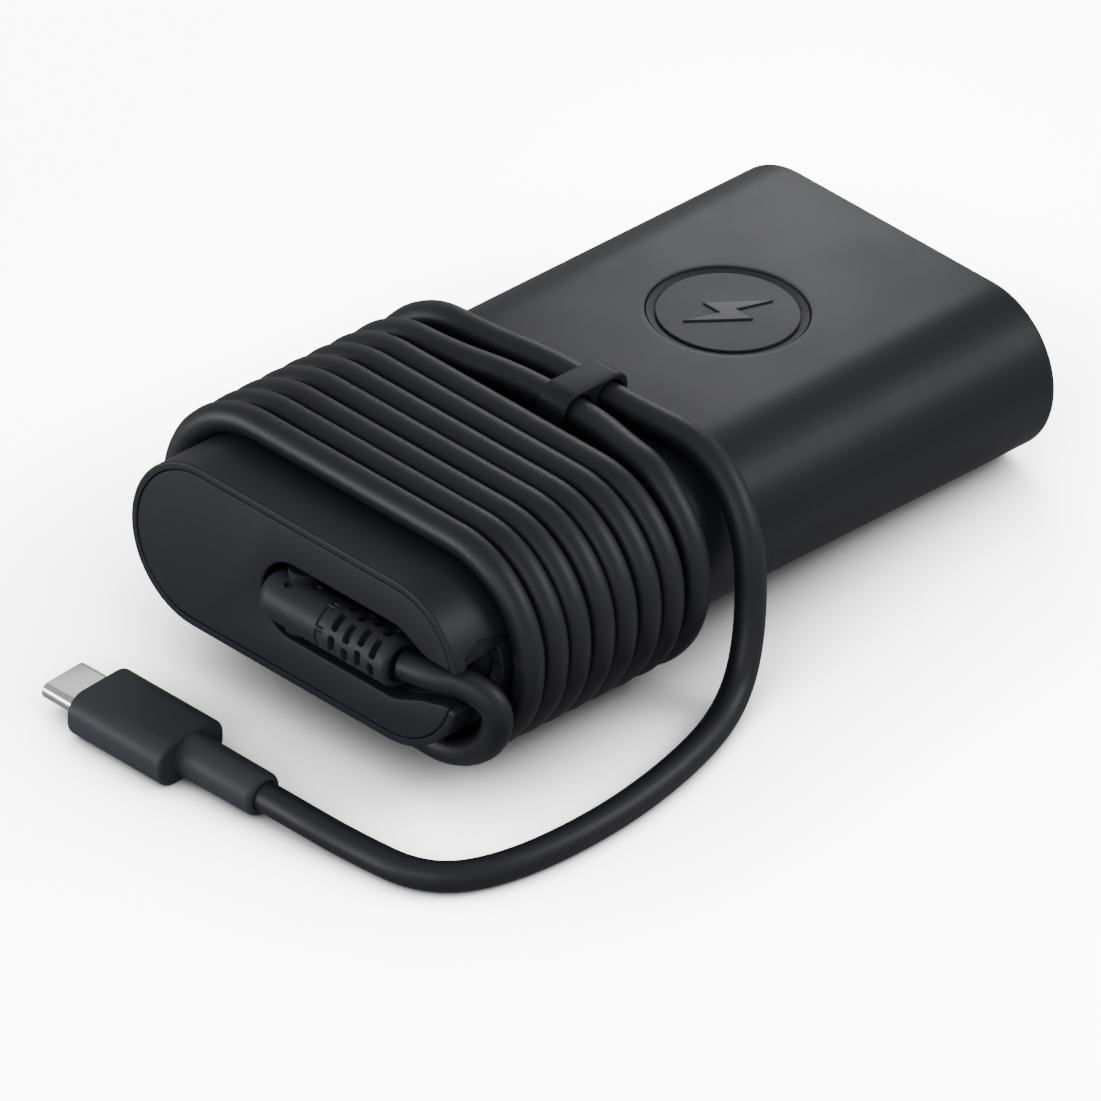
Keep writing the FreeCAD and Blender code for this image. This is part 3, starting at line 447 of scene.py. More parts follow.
def handled_wear():
    """Colour drift over the surface, and edges rubbed lighter where the skin is convex."""
    name = "Handled wear"
    if name in bpy.data.node_groups:
        return bpy.data.node_groups[name]
    tree, given, out = effect(name, {
        "Place": (VECTOR, None), "Colour": (TINT, (0.1, 0.1, 0.1, 1.0)), "Drift": (FLOAT, 0.1),
        "Wear": (FLOAT, 0.2),
    }, {"Colour": TINT, "Mask": FLOAT})
    patches = add(tree, "ShaderNodeTexNoise", Vector=given["Place"], Scale=55.0, Detail=5.0).outputs["Fac"]
    centred = maths(tree, "SUBTRACT", patches, 0.5)
    value = maths(tree, "MULTIPLY_ADD", centred, given["Drift"], 1.0)
    drifted = add(tree, "ShaderNodeHueSaturation", Value=value, Color=given["Colour"]).outputs["Color"]
    convex = tree.nodes.new("ShaderNodeNewGeometry").outputs["Pointiness"]
    rubbed = add(tree, "ShaderNodeMapRange", {"interpolation_type": "SMOOTHSTEP"}, Value=convex)
    rubbed.inputs["From Min"].default_value = 0.53
    rubbed.inputs["From Max"].default_value = 0.66
    broken = add(tree, "ShaderNodeTexNoise", Vector=given["Place"], Scale=700.0, Detail=3.0).outputs["Fac"]
    mask = maths(tree, "MULTIPLY", maths(tree, "MULTIPLY", rubbed.outputs["Result"], broken), given["Wear"])
    lighter = add(tree, "ShaderNodeHueSaturation", Value=1.9, Saturation=0.8, Color=drifted).outputs["Color"]
    mixed = add(tree, "ShaderNodeMix", {"data_type": "RGBA"})
    for socket, source in ((0, mask), (6, drifted), (7, lighter)):
        tree.links.new(source, mixed.inputs[socket])
    tree.links.new(mixed.outputs[2], out["Colour"])
    tree.links.new(mask, out["Mask"])
    return tree


def drawn_lines():
    """Fine lines left by brushing or drawing, stretched along one axis, as a height."""
    name = "Drawn lines"
    if name in bpy.data.node_groups:
        return bpy.data.node_groups[name]
    tree, given, out = effect(name, {"Place": (VECTOR, None), "Stretch": (VECTOR, (1.0, 1.0, 1.0))},
                              {"Height": FLOAT})
    stretched = tree.nodes.new("ShaderNodeVectorMath")
    stretched.operation = "MULTIPLY"
    tree.links.new(given["Place"], stretched.inputs[0])
    tree.links.new(given["Stretch"], stretched.inputs[1])
    lines = add(tree, "ShaderNodeTexNoise", Vector=stretched.outputs[0], Scale=1.0, Detail=3.0)
    tree.links.new(lines.outputs["Fac"], out["Height"])
    return tree


def look(roughness, metallic=0.0, grain=0.25, bump=0.004, drift=0.12, wear=0.25, spread=0.1, coat=0.0,
         lines=None, specular=0.25):
    """How a finish looks: grain size and bump height in millimetres, the rest from 0 to 1."""
    return SimpleNamespace(**locals())


LOOKS = {
    "case_shell": look(0.46, grain=0.16, bump=0.006, drift=0.1, wear=0.35),
    "end_caps": look(0.55, grain=0.16, bump=0.006, drift=0.1, wear=0.3),
    "inlet_plastic": look(0.42, grain=0.12, bump=0.003),
    "pin_metal": look(0.24, 1.0, bump=0.001, wear=0.1, lines=(4000.0, 200.0, 4000.0)),
    "badge": look(0.48, grain=0.14, bump=0.004, wear=0.2),
    "badge_symbol": look(0.4, grain=0.12, bump=0.002, wear=0.3),
    "label": look(0.6, grain=0.4, bump=0.002, wear=0.05),
    "steel": look(0.3, 1.0, bump=0.001, lines=(3000.0, 3000.0, 200.0)),
    "knuckle": look(0.5, grain=0.15, bump=0.003),
    "relief_rubber": look(0.5, grain=0.14, bump=0.004, drift=0.15, wear=0.35),
    "cord_jacket": look(0.5, grain=0.5, bump=0.0008, drift=0.12, wear=0.0, spread=0.06, specular=0.45),
    "clip_rubber": look(0.48, grain=0.14, bump=0.004, wear=0.3),
    "plug_grip": look(0.5, grain=0.13, bump=0.005, drift=0.1, wear=0.3),
    "plug_steel": look(0.16, 1.0, bump=0.0008, wear=0.05, lines=(300.0, 6000.0, 6000.0)),
    "contact_holder": look(0.45, grain=0.1, bump=0.001),
    "gold_contact": look(0.22, 1.0, bump=0.0005, wear=0.0),
    "board": look(0.38, grain=0.5, bump=0.006, drift=0.35, coat=0.3),
    "chip": look(0.5, grain=0.1, bump=0.002),
    "sheet": look(0.35, grain=0.6, bump=0.003, drift=0.2),
    "aluminium": look(0.35, 1.0, bump=0.001, lines=(300.0, 6000.0, 6000.0)),
    "film_capacitor": look(0.4, grain=0.2, bump=0.002, drift=0.15),
    "can": look(0.3, 0.2, grain=0.3, bump=0.001, drift=0.1, coat=0.5),
    "ceramic": look(0.3, grain=0.3, bump=0.003, drift=0.15, coat=0.4),
    "ferrite": look(0.55, grain=0.12, bump=0.006, drift=0.2),
    "copper": look(0.28, 1.0, bump=0.004, drift=0.3, lines=(400.0, 400.0, 3500.0)),
    "tape": look(0.3, grain=0.4, bump=0.003, drift=0.15, coat=0.3),
    "fuse_glass": look(0.1, grain=0.3, bump=0.0005, coat=0.8),
    "pad_silicone": look(0.6, grain=0.2, bump=0.005, drift=0.15),
    "wire_red": look(0.4, grain=0.2, bump=0.002),
    "wire_black": look(0.4, grain=0.2, bump=0.002),
}


def finish(slot):
    """Material of one finish, made once: worn colour, wandering roughness and a bump of grain or lines."""
    name = "finish_" + slot
    if name in bpy.data.materials:
        return bpy.data.materials[name]
    shape = LOOKS[slot]
    colours = bpy.context.scene.adapter_colours
    base = tuple(getattr(colours, slot, COLOURS[slot]))
    material = bpy.data.materials.new(name)
    material.use_nodes = True
    material.diffuse_color = (*base, 1.0)
    tree = material.node_tree
    shader = tree.nodes["Principled BSDF"]
    place = tree.nodes.new("ShaderNodeTexCoord").outputs["Object"]
    wear = add(tree, "ShaderNodeGroup", {"node_tree": handled_wear()}, Place=place, Colour=(*base, 1.0),
               Drift=shape.drift, Wear=shape.wear)
    grain = add(tree, "ShaderNodeGroup", {"node_tree": moulded_grain()}, Place=place, Grain=shape.grain,
                Roughness=shape.roughness, Spread=shape.spread)
    height = grain.outputs["Height"]
    if shape.lines:
        drawn = add(tree, "ShaderNodeGroup", {"node_tree": drawn_lines()}, Place=place, Stretch=shape.lines)
        height = drawn.outputs["Height"]
    bump = add(tree, "ShaderNodeBump", Height=height, Strength=1.0, Distance=shape.bump * MM)
    tree.links.new(wear.outputs["Colour"], shader.inputs["Base Color"])
    tree.links.new(grain.outputs["Roughness"], shader.inputs["Roughness"])
    tree.links.new(bump.outputs["Normal"], shader.inputs["Normal"])
    shader.inputs["Metallic"].default_value = shape.metallic
    shader.inputs["Specular IOR Level"].default_value = shape.specular
    shader.inputs["Coat Weight"].default_value = shape.coat
    return material


# ---------------------------------------------------------------- case

def spaced(*stretches):
    """Sorted line positions from stretches (start, stop, spacing), each value once."""
    lines = [np.linspace(a, b, max(2, int(round(abs(b - a) / gap)) + 1)) for a, b, gap in stretches]
    return np.unique(np.round(np.concatenate(lines), 4))


RECESS_EDGE = np.array([-0.06, -0.02, 0.03, 0.1, 0.22])
RECESS_DEPTH = np.array([1.0, 0.32, 0.12, 0.03, 0.0])
RECESS_REACH = 16.0


def disc_warp(across, along, radius):
    """Turns square rings of a grid into circles near the recess and leaves them square at its reach.

    A point at (p, q) belongs to the square of half size m = max(|p|, |q|).  It is moved along its own
    direction to distance m, and that move fades out between the recess and the reach.
    """
    size = np.maximum(np.abs(across), np.abs(along))
    distance = np.maximum(np.hypot(across, along), 1e-9)
    fade = 1 - smooth_step((size - radius - 0.6) / (RECESS_REACH - radius - 0.6))
    scale = 1 + (size / distance - 1) * fade
    return across * scale, along * scale, size


NOTCH_HALF = 11.0
NOTCH_LINES = 141
NOTCH_WINDOW = 0.8
FRONT_ZONE = 20.0


def notch_edge(count):
    """Edge of the sleeve's notch as (arc length below mid height, distance behind the front face).

    It comes down the front face, swells back round a short lip into a wide rounded bay behind it, and
    returns along the lower jaw; the corners are made round by averaging the line over a short window.
    """
    corners = np.array([(-11.0, 0.0), (-3.2, 0.0), (-3.2, 1.8), (-5.0, 3.1), (-5.9, 5.6), (-4.2, 8.0),
                        (-1.0, 8.5), (1.6, 8.0), (3.4, 5.6), (2.4, 2.0), (2.8, 0.0), (11.0, 0.0)])
    reach = np.concatenate([[0], np.cumsum(np.linalg.norm(np.diff(corners, axis=0), axis=1))])
    fine = np.linspace(0, reach[-1], 1200)
    shifts = np.linspace(-NOTCH_WINDOW, NOTCH_WINDOW, 25)
    weights = np.cos(shifts / NOTCH_WINDOW * math.pi / 2) ** 2
    samples = np.clip(fine[:, None] + shifts, 0, reach[-1])
    line = np.stack([np.interp(samples, reach, corners[:, i]) @ weights / weights.sum()
                     for i in (0, 1)], -1)
    line[:, 0] = corners[0, 0] + (line[:, 0] - line[0, 0]) * 2 * NOTCH_HALF / (line[-1, 0] - line[0, 0])
    travelled = np.concatenate([[0], np.cumsum(np.linalg.norm(np.diff(line, axis=0), axis=1))])
    even = np.linspace(0, travelled[-1], count)
    return np.stack([np.interp(even, travelled, line[:, i]) for i in (0, 1)], -1)


def sleeve_rings(case):
    """Rings of the sleeve from its rear edge forward over the skin, round the front edge and back inside.

    Each ring is three arrays over the lines that run along the case: arc length, y and inset.
    """
    flat = (case.width - case.height) / 2
    quarter = math.pi * case.height / 4
    right_side = flat + quarter
    total = perimeter(case)
    edges = case.badge_radius + RECESS_EDGE
    half_label = case.label_width / 2
    under = flat + 2 * quarter + flat
    lines = np.concatenate([
        spaced((-RECESS_REACH, RECESS_REACH, 0.8)), edges, -edges,
        spaced((RECESS_REACH, right_side - NOTCH_HALF, 1.1)),
        spaced((right_side + NOTCH_HALF, under - half_label - 0.3, 1.3)),
        under + np.array([-half_label, half_label, half_label + 0.12]), [under - half_label - 0.12],
        spaced((under - half_label + 0.15, under + half_label - 0.15, 3.0)),
        spaced((under + half_label + 0.3, total - RECESS_REACH, 1.2))])
    plain = np.unique(np.round(lines[lines < total - RECESS_REACH - 0.4], 4))
    before = plain[plain < right_side - NOTCH_HALF - 0.01]
    after = plain[plain > right_side + NOTCH_HALF + 0.01]
    across = np.linspace(right_side - NOTCH_HALF, right_side + NOTCH_HALF, NOTCH_LINES)
    s = np.concatenate([before, across, after])
    in_notch = slice(len(before), len(before) + NOTCH_LINES)

    edge_q = s.copy()
    edge_y = np.zeros_like(s)
    bay = notch_edge(NOTCH_LINES)
    edge_q[in_notch] = right_side + bay[:, 0]
    edge_y[in_notch] = bay[:, 1]
    inward = np.stack([np.zeros_like(s), np.ones_like(s)], -1)
    step = np.gradient(bay, axis=0)
    step /= np.linalg.norm(step, axis=1, keepdims=True)
    inward[in_notch] = np.stack([-step[:, 1], step[:, 0]], -1)

    front = -case.length
    mouth = np.stack([edge_q, front + edge_y], -1)
    rings = []

    def ring(q, y, inset):
        rings.append((q, y, np.broadcast_to(inset, s.shape)))

    angle = np.linspace(0, math.pi / 2, 5)
    for turn in angle[::-1]:
        rear = -case.rear_round * (1 - math.sin(turn))
        ring(s, np.full_like(s, rear), case.rear_round * (1 - math.cos(turn)))
    middle = -case.badge_place
    beside = case.label_length / 2 + np.array([0, 0.12])
    label_edges = -case.label_place + np.array([-1, 1])[:, None] * beside
    ys = np.concatenate([
        spaced((-1.4, middle + RECESS_REACH, 1.4)),
        spaced((middle - RECESS_REACH, middle + RECESS_REACH, 0.8)), middle + edges, middle - edges,
        label_edges.ravel(), spaced((front + FRONT_ZONE, middle - RECESS_REACH, 2.6))])
    for y in np.unique(np.round(ys, 4))[::-1]:
        p, q, size = disc_warp(np.where(s > total / 2, s - total, s), np.full_like(s, y - middle),
                               case.badge_radius)
        near = size < RECESS_REACH
        depth = np.interp(size - case.badge_radius, RECESS_EDGE, RECESS_DEPTH) * case.badge_depth
        beside_label = abs(y + case.label_place) < case.label_length / 2 + 0.01
        inside = (np.abs(s - under) < half_label + 0.01) & beside_label
        depth = np.where(near, depth, np.where(inside, case.label_depth, 0.0))
        ring(np.where(near, p, s), np.where(near, q + middle, y), depth)
    offset = case.front_round + 0.35
    start = mouth + offset * inward
    zone = front + FRONT_ZONE
    for share in (1 - np.linspace(0, 1, 16)[1:] ** 1.5):
        blend = 1 - share
        ring(s + (start[:, 0] - s) * blend, zone + (start[:, 1] - zone) * blend, 0.0)
    for turn in angle:
        along = case.front_round * (1 - math.sin(turn))
        point = mouth + along * inward
        ring(point[:, 0], point[:, 1], case.front_round * (1 - math.cos(turn)))
    ring(edge_q, front + edge_y, case.lip - 0.1)
    inner = mouth + 0.1 * inward
    ring(inner[:, 0], inner[:, 1], case.lip)
    deep = np.maximum(inner[:, 1], front + case.mouth)
    ring(inner[:, 0], deep, case.lip)
    ring(inner[:, 0], deep + 0.01, case.wall)
    ring(s, np.full_like(s, zone), case.wall)
    ring(s, np.full_like(s, -case.mouth), case.wall)
    ring(s, np.full_like(s, -case.mouth + 0.01), case.lip)
    ring(s, np.full_like(s, -0.1), case.lip)
    ring(s, np.zeros_like(s), case.lip - 0.1)
    return rings


def build_sleeve():
    """Sleeve with its notch, badge recess and label recess, as one closed skin."""
    case = case_sizes()
    rings = []
    for q, y, inset in sleeve_rings(case):
        x, z = section(q, inset, case)
        rings.append(np.stack([x, y, z], -1))
    piece("case_sleeve", [skin(np.array(rings), loop_rows=True)], "case_shell", "case", ["sleeve"])


def cap_line(case, inset, start, stop, count=240):
    """The case's outline at an inset between two arc lengths, clockwise, as (x, z)."""
    x, z = section(np.linspace(start, stop, count), inset, case)
    return np.stack([x, z], -1)


THROAT_FROM, THROAT_TO = 17.8, 25.6
POCKET_CENTRE = -0.3


def pocket_edge(case, pocket, reach, low_reach, grow=0.0, count=60):
    """Edge of the pocket from the top right round its left end to the bottom right.

    The upper side ends at x = reach and the lower side is stretched from the left end to x = low_reach.

    The left end is a half circle, and to the right of it the half height falls by a smooth step from the
    pocket's to the throat's, which gives both sides their wave.  The lower side rises once more at its tip.
    """
    middle = case.height / 2
    x = np.linspace(reach, POCKET_CENTRE, count)
    fall = smooth_step((x - THROAT_FROM) / (THROAT_TO - THROAT_FROM))
    half = pocket.height / 2 + (pocket.throat - pocket.height) / 2 * fall + grow
    upper = np.stack([x, middle + half], -1)
    tip = pocket.jaw_rise * smooth_step((x - THROAT_TO + 1) / 3.5)
    stretch = (low_reach - POCKET_CENTRE) / (reach - POCKET_CENTRE)
    lower = np.stack([POCKET_CENTRE + (x - POCKET_CENTRE) * stretch, middle - half + tip], -1)[::-1]
    end = arc((POCKET_CENTRE, middle), pocket.height / 2 + grow, 90, 270, 40)[1:-1]
    return np.vstack([upper, end, lower])


# Scoop behind the notch: distance behind the front face, depth under the case's outline
SCOOP = ((9.4, 2.2), (8.0, 2.5), (6.8, 3.3), (5.8, 4.6), (5.3, 6.2))
SCOOP_HALF = 8.5
SCOOP_WALL = 1.2
POCKET_WALL = 1.4
POCKET_REACH = 27.0


def build_front_cap():
    """Plate with the pocket cut through it, the pocket's trough and floor, and a scoop behind the notch."""
    case, pocket = case_sizes(), pocket_sizes()
    radius = case.height / 2
    inset = case.lip + case.gap
    flat = (case.width - case.height) / 2
    lift = math.asin(pocket.throat / 2 / (radius - inset))
    drop = math.asin((pocket.throat / 2 - pocket.jaw_rise) / (radius - inset))
    side = flat + math.pi * radius / 2
    reach, low_reach = (flat + (radius - inset) * math.cos(angle) for angle in (lift, drop))
    outer = cap_line(case, inset, side + drop * radius, side - lift * radius + perimeter(case))
    edge = pocket_edge(case, pocket, reach, low_reach)[1:-1]
    front = -case.length
    back = front + case.mouth - case.gap
    plate = extruded(np.vstack([outer, edge])[::-1], round_stations(front, back, 0.28, 0.02), "y")
    inner, grown = (pocket_edge(case, pocket, POCKET_REACH, POCKET_REACH, grow)
                    for grow in (0.0, POCKET_WALL))
    trough_end = front + pocket.depth
    trough = extruded(np.vstack([inner, grown[::-1]]), [(back, 0.0), (trough_end, 0.0)], "y")
    floor = extruded(grown, [(trough_end, 0.0), (trough_end + POCKET_WALL, 0.0)], "y")
    scoop = []
    for behind, depth in SCOOP:
        outside, inside = (cap_line(case, depth + thick, side - SCOOP_HALF, side + SCOOP_HALF, 40)
                           for thick in (0.0, SCOOP_WALL))
        line = np.vstack([outside, inside[::-1]])
        scoop.append(np.stack([line[:, 0], np.full(len(line), front + behind), line[:, 1]], -1))
    piece("front_end_cap", [skin(plate), skin(trough), skin(floor), skin(np.array(scoop))], "end_caps",
          "case", ["front_cap"])


def star_outline(angle, shapes):
    """Distance from the middle to the edge of joined discs and boxes, in each direction of angle."""
    direction = np.stack([np.cos(angle), np.sin(angle)], -1)
    best = np.zeros_like(angle)
    for kind, x, z, across, up in shapes:
        if kind == "disc":
            forward = direction @ np.array([x, z])
            aside = forward ** 2 - (x * x + z * z) + across ** 2
            reach = np.where(aside > 0, forward + np.sqrt(np.maximum(aside, 0)), 0)
        else:
            with np.errstate(divide="ignore"):
                reach = np.minimum((across + np.sign(direction[:, 0]) * x) / np.abs(direction[:, 0]),
                                   (up + np.sign(direction[:, 1]) * z) / np.abs(direction[:, 1]))
        best = np.maximum(best, reach)
    return direction * best[:, None]


INLET_LOBES = ((-5.0, 2.6), (5.0, 2.6), (0.0, -2.6))
INLET_WINDOW = (23.0, 17.6)


def build_mains_end():
    """Rear cap as a frame round the inlet window, and the inlet as a cup with a three-lobed cavity."""
    case = case_sizes()
    middle = case.height / 2
    angle = np.linspace(0, 2 * math.pi, 360, endpoint=False)
    x, z = section(np.linspace(0, perimeter(case), 360, endpoint=False), case.lip + case.gap, case)
    rim = np.stack([x, z - middle], -1)
    heading = np.arctan2(rim[:, 1], rim[:, 0])
    window = star_outline(heading, [("box", 0, 0, INLET_WINDOW[0] / 2, INLET_WINDOW[1] / 2)])
    deep = -case.mouth + case.gap

    def ring(line, y):
        return np.stack([line[:, 0], np.full(len(line), y), line[:, 1] + middle], -1)

    def pulled(line, amount):
        return line * (1 + amount / np.linalg.norm(line, axis=1, keepdims=True))

    turns = np.linspace(0, math.pi / 2, 4)

    def eased(line, radius, outer):
        """Quarter circle of rings over an outer edge, or from the face into an inner one."""
        sign, steps = (-1, turns) if outer else (1, turns[::-1])
        return [ring(pulled(line, sign * radius * (1 - math.cos(t))), -radius * (1 - math.sin(t)))
                for t in steps]

    rings = [ring(rim, deep)] + eased(rim, 0.35, True) + eased(window, 0.2, False) + [ring(window, deep)]
    piece("rear_end_cap", [skin(np.array(rings), loop_rows=True)], "end_caps", "case", ["rear_cap"])

    across, up = (size / 2 - 0.1 for size in INLET_WINDOW)
    body = star_outline(angle, [("box", 0, 0, across, up)])
    lobes = [("disc", x, z, 5.1, 0) for x, z in INLET_LOBES]
    cavity = star_outline(angle, lobes + [("box", 0, 1.2, 5.0, 3.5)])
    cup = [ring(body, -19.0)] + eased(body, 0.25, True) + eased(cavity, 0.3, False) + [ring(cavity, -14.0)]
    piece("mains_inlet", [skin(np.array(cup))], "inlet_plastic", "case", ["ac_inlet_body"])

    names = ("inlet_pin_line", "inlet_pin_neutral", "inlet_pin_earth")
    for name, (x, z) in zip(names, INLET_LOBES):
        tip = [(-1.5 - 0.75 * (1 - math.sin(t)), 1.2 - 0.75 * (1 - math.cos(t))) for t in turns]
        pin = turned([(-23.5, 1.2)] + tip, (x, z + middle), "y", 32)
        piece(name.replace("inlet_pin", "mains_pin"), [skin(pin)], "pin_metal", "case", [name])


def build_badge():
    """Dished ring and flat disc in the recess on the top, and a raised bolt on the disc."""
    case = case_sizes()
    top = case.height
    radius = case.badge_radius - 0.1
    profile = [(top - 0.88, radius), (top - 0.3, radius), (top - 0.24, radius - 0.06),
               (top - 0.52, radius - 1.02), (top - 0.62, radius - 1.08), (top - 0.62, radius - 1.2),
               (top - 0.26, radius - 1.24), (top - 0.21, radius - 1.3), (top - 0.2, radius - 1.38),
               (top - 0.2, radius - 1.45), (top - 0.2, 5.0), (top - 0.2, 0.5)]
    disc = turned(profile, (0.0, -case.badge_place), "z", 160)
    piece("badge", [skin(disc)], "badge", "case", ["badge_disc"])
    steps = np.array([(2.2, 6.4), (-3.6, -1.1), (-0.4, -1.1), (-2.2, -6.4), (3.6, 1.1), (0.4, 1.1)])
    stations = [(top - 0.4, 0.0), (top - 0.02, 0.0), (top + 0.03, 0.05), (top + 0.045, 0.12)]
    bolt = extruded(steps + [0.0, -case.badge_place], stations, "z")
    piece("badge_bolt", [skin(bolt)], "badge_symbol", "case", ["badge_mark"])


def build_label():
    """Blank label let into the underside, with rounded corners and a thin raised border."""
    case = case_sizes()
    outline = rounded_rectangle((0.0, -case.label_place), case.label_width - 0.4,
                                case.label_length - 0.4, 1.2)
    stations = [(0.34, 0.0), (0.13, 0.0), (0.1, 0.05), (0.1, 0.7), (0.14, 0.75), (0.14, 1.2)]
    piece("rating_plate", [skin(extruded(outline, stations, "z"))], "label", "case", ["rating_label"])


# ---------------------------------------------------------------- swivelling cord exit

def box_field(x, y, half_x, half_y, corner):
    """Signed distance to a rectangle with round corners: negative inside it."""
    across = np.maximum(np.abs(x) - half_x + corner, 0)
    up = np.maximum(np.abs(y) - half_y + corner, 0)
    return np.hypot(across, up) - corner


def dent(distance, soft):
    """1 inside a shape and 0 outside, with a smooth flank as wide as twice the softness."""
    return 1 - smooth_step((distance + soft) / (2 * soft))


def build_strain_relief():
    """Rubber relief: a rod with a domed end, flex slots in six staggered rows, a bracket and two gate holes.

    Its skin is a grid of x and angle; the radius is the rod's, less the depth of whatever is pressed in.
    """
    case, pocket = case_sizes(), pocket_sizes()
    radius = pocket.relief_radius
    left = -5.1
    right = pocket.relief_reach
    dome = 0.82 * radius
    rise = np.linspace(0.12, math.pi / 2, 14)
    dome_x = left + dome * (1 - np.cos(rise))
    dome_r = radius - dome + dome * np.sin(rise)
    body_x = np.arange(left + dome, right - 0.9, 0.115)[1:]
    rim = np.linspace(0, math.pi / 2, 7)
    rim_x = right - 0.8 + 0.8 * np.sin(rim)
    rim_r = radius - 0.8 + 0.8 * np.cos(rim)
    mouth = [(right - 0.05, radius - 0.95), (right - 0.5, radius - 1.05), (right - 0.8, radius - 1.2),
             (right - 0.8, 2.2)]
    x = np.concatenate([dome_x, body_x, rim_x, [p[0] for p in mouth]])
    r = np.concatenate([dome_r, np.full(len(body_x), radius), rim_r, [p[1] for p in mouth]])
    count = 216
    angle = np.linspace(0, 360, count, endpoint=False)
    grid_x, grid_a = np.meshgrid(x, angle, indexing="ij")
    depth = np.zeros_like(grid_x)

    def arc_from(centre):
        return np.radians((grid_a - centre + 180) % 360 - 180) * radius

    for row in range(6):
        facing = 45 + 60 * row
        for column in range(4):
            zigzag = 6 if column % 2 == 0 else -6
            slot = box_field(grid_x - 9.9 - column * pocket.slot_pitch, arc_from(facing + zigzag),
                             pocket.slot_width / 2, pocket.slot_span / 2, 0.4)
            depth = np.maximum(depth, pocket.slot_depth * dent(slot, 0.1))
        bars = ((7.0, 0, 0.14, 1.7), (7.5, 25, 0.6, 0.14), (7.5, -25, 0.6, 0.14))
        for offset_x, offset_a, half_x, half_a in bars:
            bracket = box_field(grid_x - offset_x, arc_from(facing + offset_a), half_x, half_a, 0.1)
            depth = np.maximum(depth, 0.3 * dent(bracket, 0.1))
    for hole_x, facing in ((-0.4, 68), (3.1, 100)):
        hole = np.hypot(grid_x - hole_x, arc_from(facing)) - 0.55
        depth = np.maximum(depth, 0.9 * dent(hole, 0.12))
    mid_band = (grid_x > left + dome) & (grid_x < right - 0.8)
    distance = r[:, None] - np.where(mid_band | (grid_x < left + dome), depth, 0)
    turn = np.radians(grid_a)
    y = -case.length + pocket.relief_inset - distance * np.cos(turn)
    z = case.height / 2 + distance * np.sin(turn)
    rings = np.stack([grid_x, y, z], -1)
    piece("strain_relief", [skin(rings)], "relief_rubber", "cord_swivel", ["dc_strain_relief"])


# ---------------------------------------------------------------- cord

def wrap_levels():
    """Side reach and the top and bottom levels of the wound cord's middle line."""
    case, cord = case_sizes(), cord_sizes()
    half = cord.diameter / 2
    return case.width / 2 + half, case.height + half, -half - cord.slack


def side_bend(side, y_start, y_stop, rising):
    """Four control points round one side of the case, 45 degrees apart, from bottom to top or back.

    The points lie outside the cord's own circle by the secant of half their spacing, which is what makes
    the spline run on that circle.
    """
    case = case_sizes()
    _, top, bottom = wrap_levels()
    middle = case.height / 2
    reach = (top - middle) / math.cos(math.radians(22.5))
    angle = np.radians([-67.5, -22.5, 22.5, 67.5])
    x = side * ((case.width - case.height) / 2 + reach * np.cos(angle))
    z = reach * np.sin(angle)
    z = middle + np.where(z < 0, z * (middle - bottom) / (top - middle), z)
    if not rising:
        x, z = x[::-1], z[::-1]
    y = np.linspace(y_start, y_stop, 4) - case.length
    return [tuple(point) for point in np.stack([x, y, z], -1)]


def run(level, *places):
    """Control points of a straight stretch over or under the case, as (x, distance from the front)."""
    front = -case_sizes().length
    return [(x, front + from_front, level) for x, from_front in places]


LEAD_ROUTE = [
    (20.1, 0.6, 12.4), (25.0, 1.2, 12.6), (29.0, 3.0, 12.8), (33.6, 5.0, 10.3),
    (32.3, 5.6, 3.7), (25.2, 6.3, -1.6), (17.0, 7.0, -2.4), (2.0, 8.3, -2.4),
]
FREE_ROUTE = [
    (34.0, 52.9, 23.4), (36.6, 50.4, 9.6), (39.1, 44.8, 2.15), (43.8, 32.5, 2.15),
    (46.2, 14.5, 2.15), (44.4, -3.5, 2.15), (38.4, -13.0, 2.15), (25.6, -14.3, 2.25),
    (17.5, -15.45, 3.4), (9.6, -15.45, 3.4),
]
THIRD = 12.07
TURN_STRAY = (0.0, 0.1, -0.06, 0.08, -0.08, 0.05, 0.0)


def lead_points():
    """Control points of the lead in metres on the table."""
    front = -case_sizes().length
    return on_case([(x, front + from_front, z) for x, from_front, z in LEAD_ROUTE])


def wound_points():
    """Neat turns, each crossing straight over the top and stepping rearward under the case."""
    cord = cord_sizes()
    _, top, bottom = wrap_levels()
    points = run(bottom, (2.0, 8.3), (-THIRD, 10.3))
    for turn in range(cord.turns):
        y = cord.first + turn * cord.pitch + TURN_STRAY[turn % len(TURN_STRAY)]
        onward = cord.first + (turn + 1) * cord.pitch - 0.1
        points += side_bend(-1, y - 0.1, y, True)
        points += run(top, (-THIRD, y), (0.0, y), (THIRD, y))
        points += side_bend(1, y, y - 0.05, False)
        if turn < cord.turns - 1:
            points += run(bottom, (THIRD, y + 0.6), (0.0, (y + onward) / 2), (-THIRD, onward - 0.6))
    points += run(bottom, (THIRD, 38.5), (0.0, 40.2), (-THIRD, 41.5))
    points += side_bend(-1, 42.2, 42.4, True)
    points += run(top, (-14.0, 42.9), (-3.6, 45.6), (10.2, 45.6), (17.3, 44.0))
    points += side_bend(1, 43.0, 42.2, False)
    points += run(bottom, (THIRD, 43.4), (0.0, 45.6), (-THIRD, 47.6))
    points += side_bend(-1, 49.0, 49.2, True)
    points += run(top, (-14.0, 49.6), (-3.6, 51.6), (11.4, 51.6), (24.6, 52.8))
    return on_case(points)


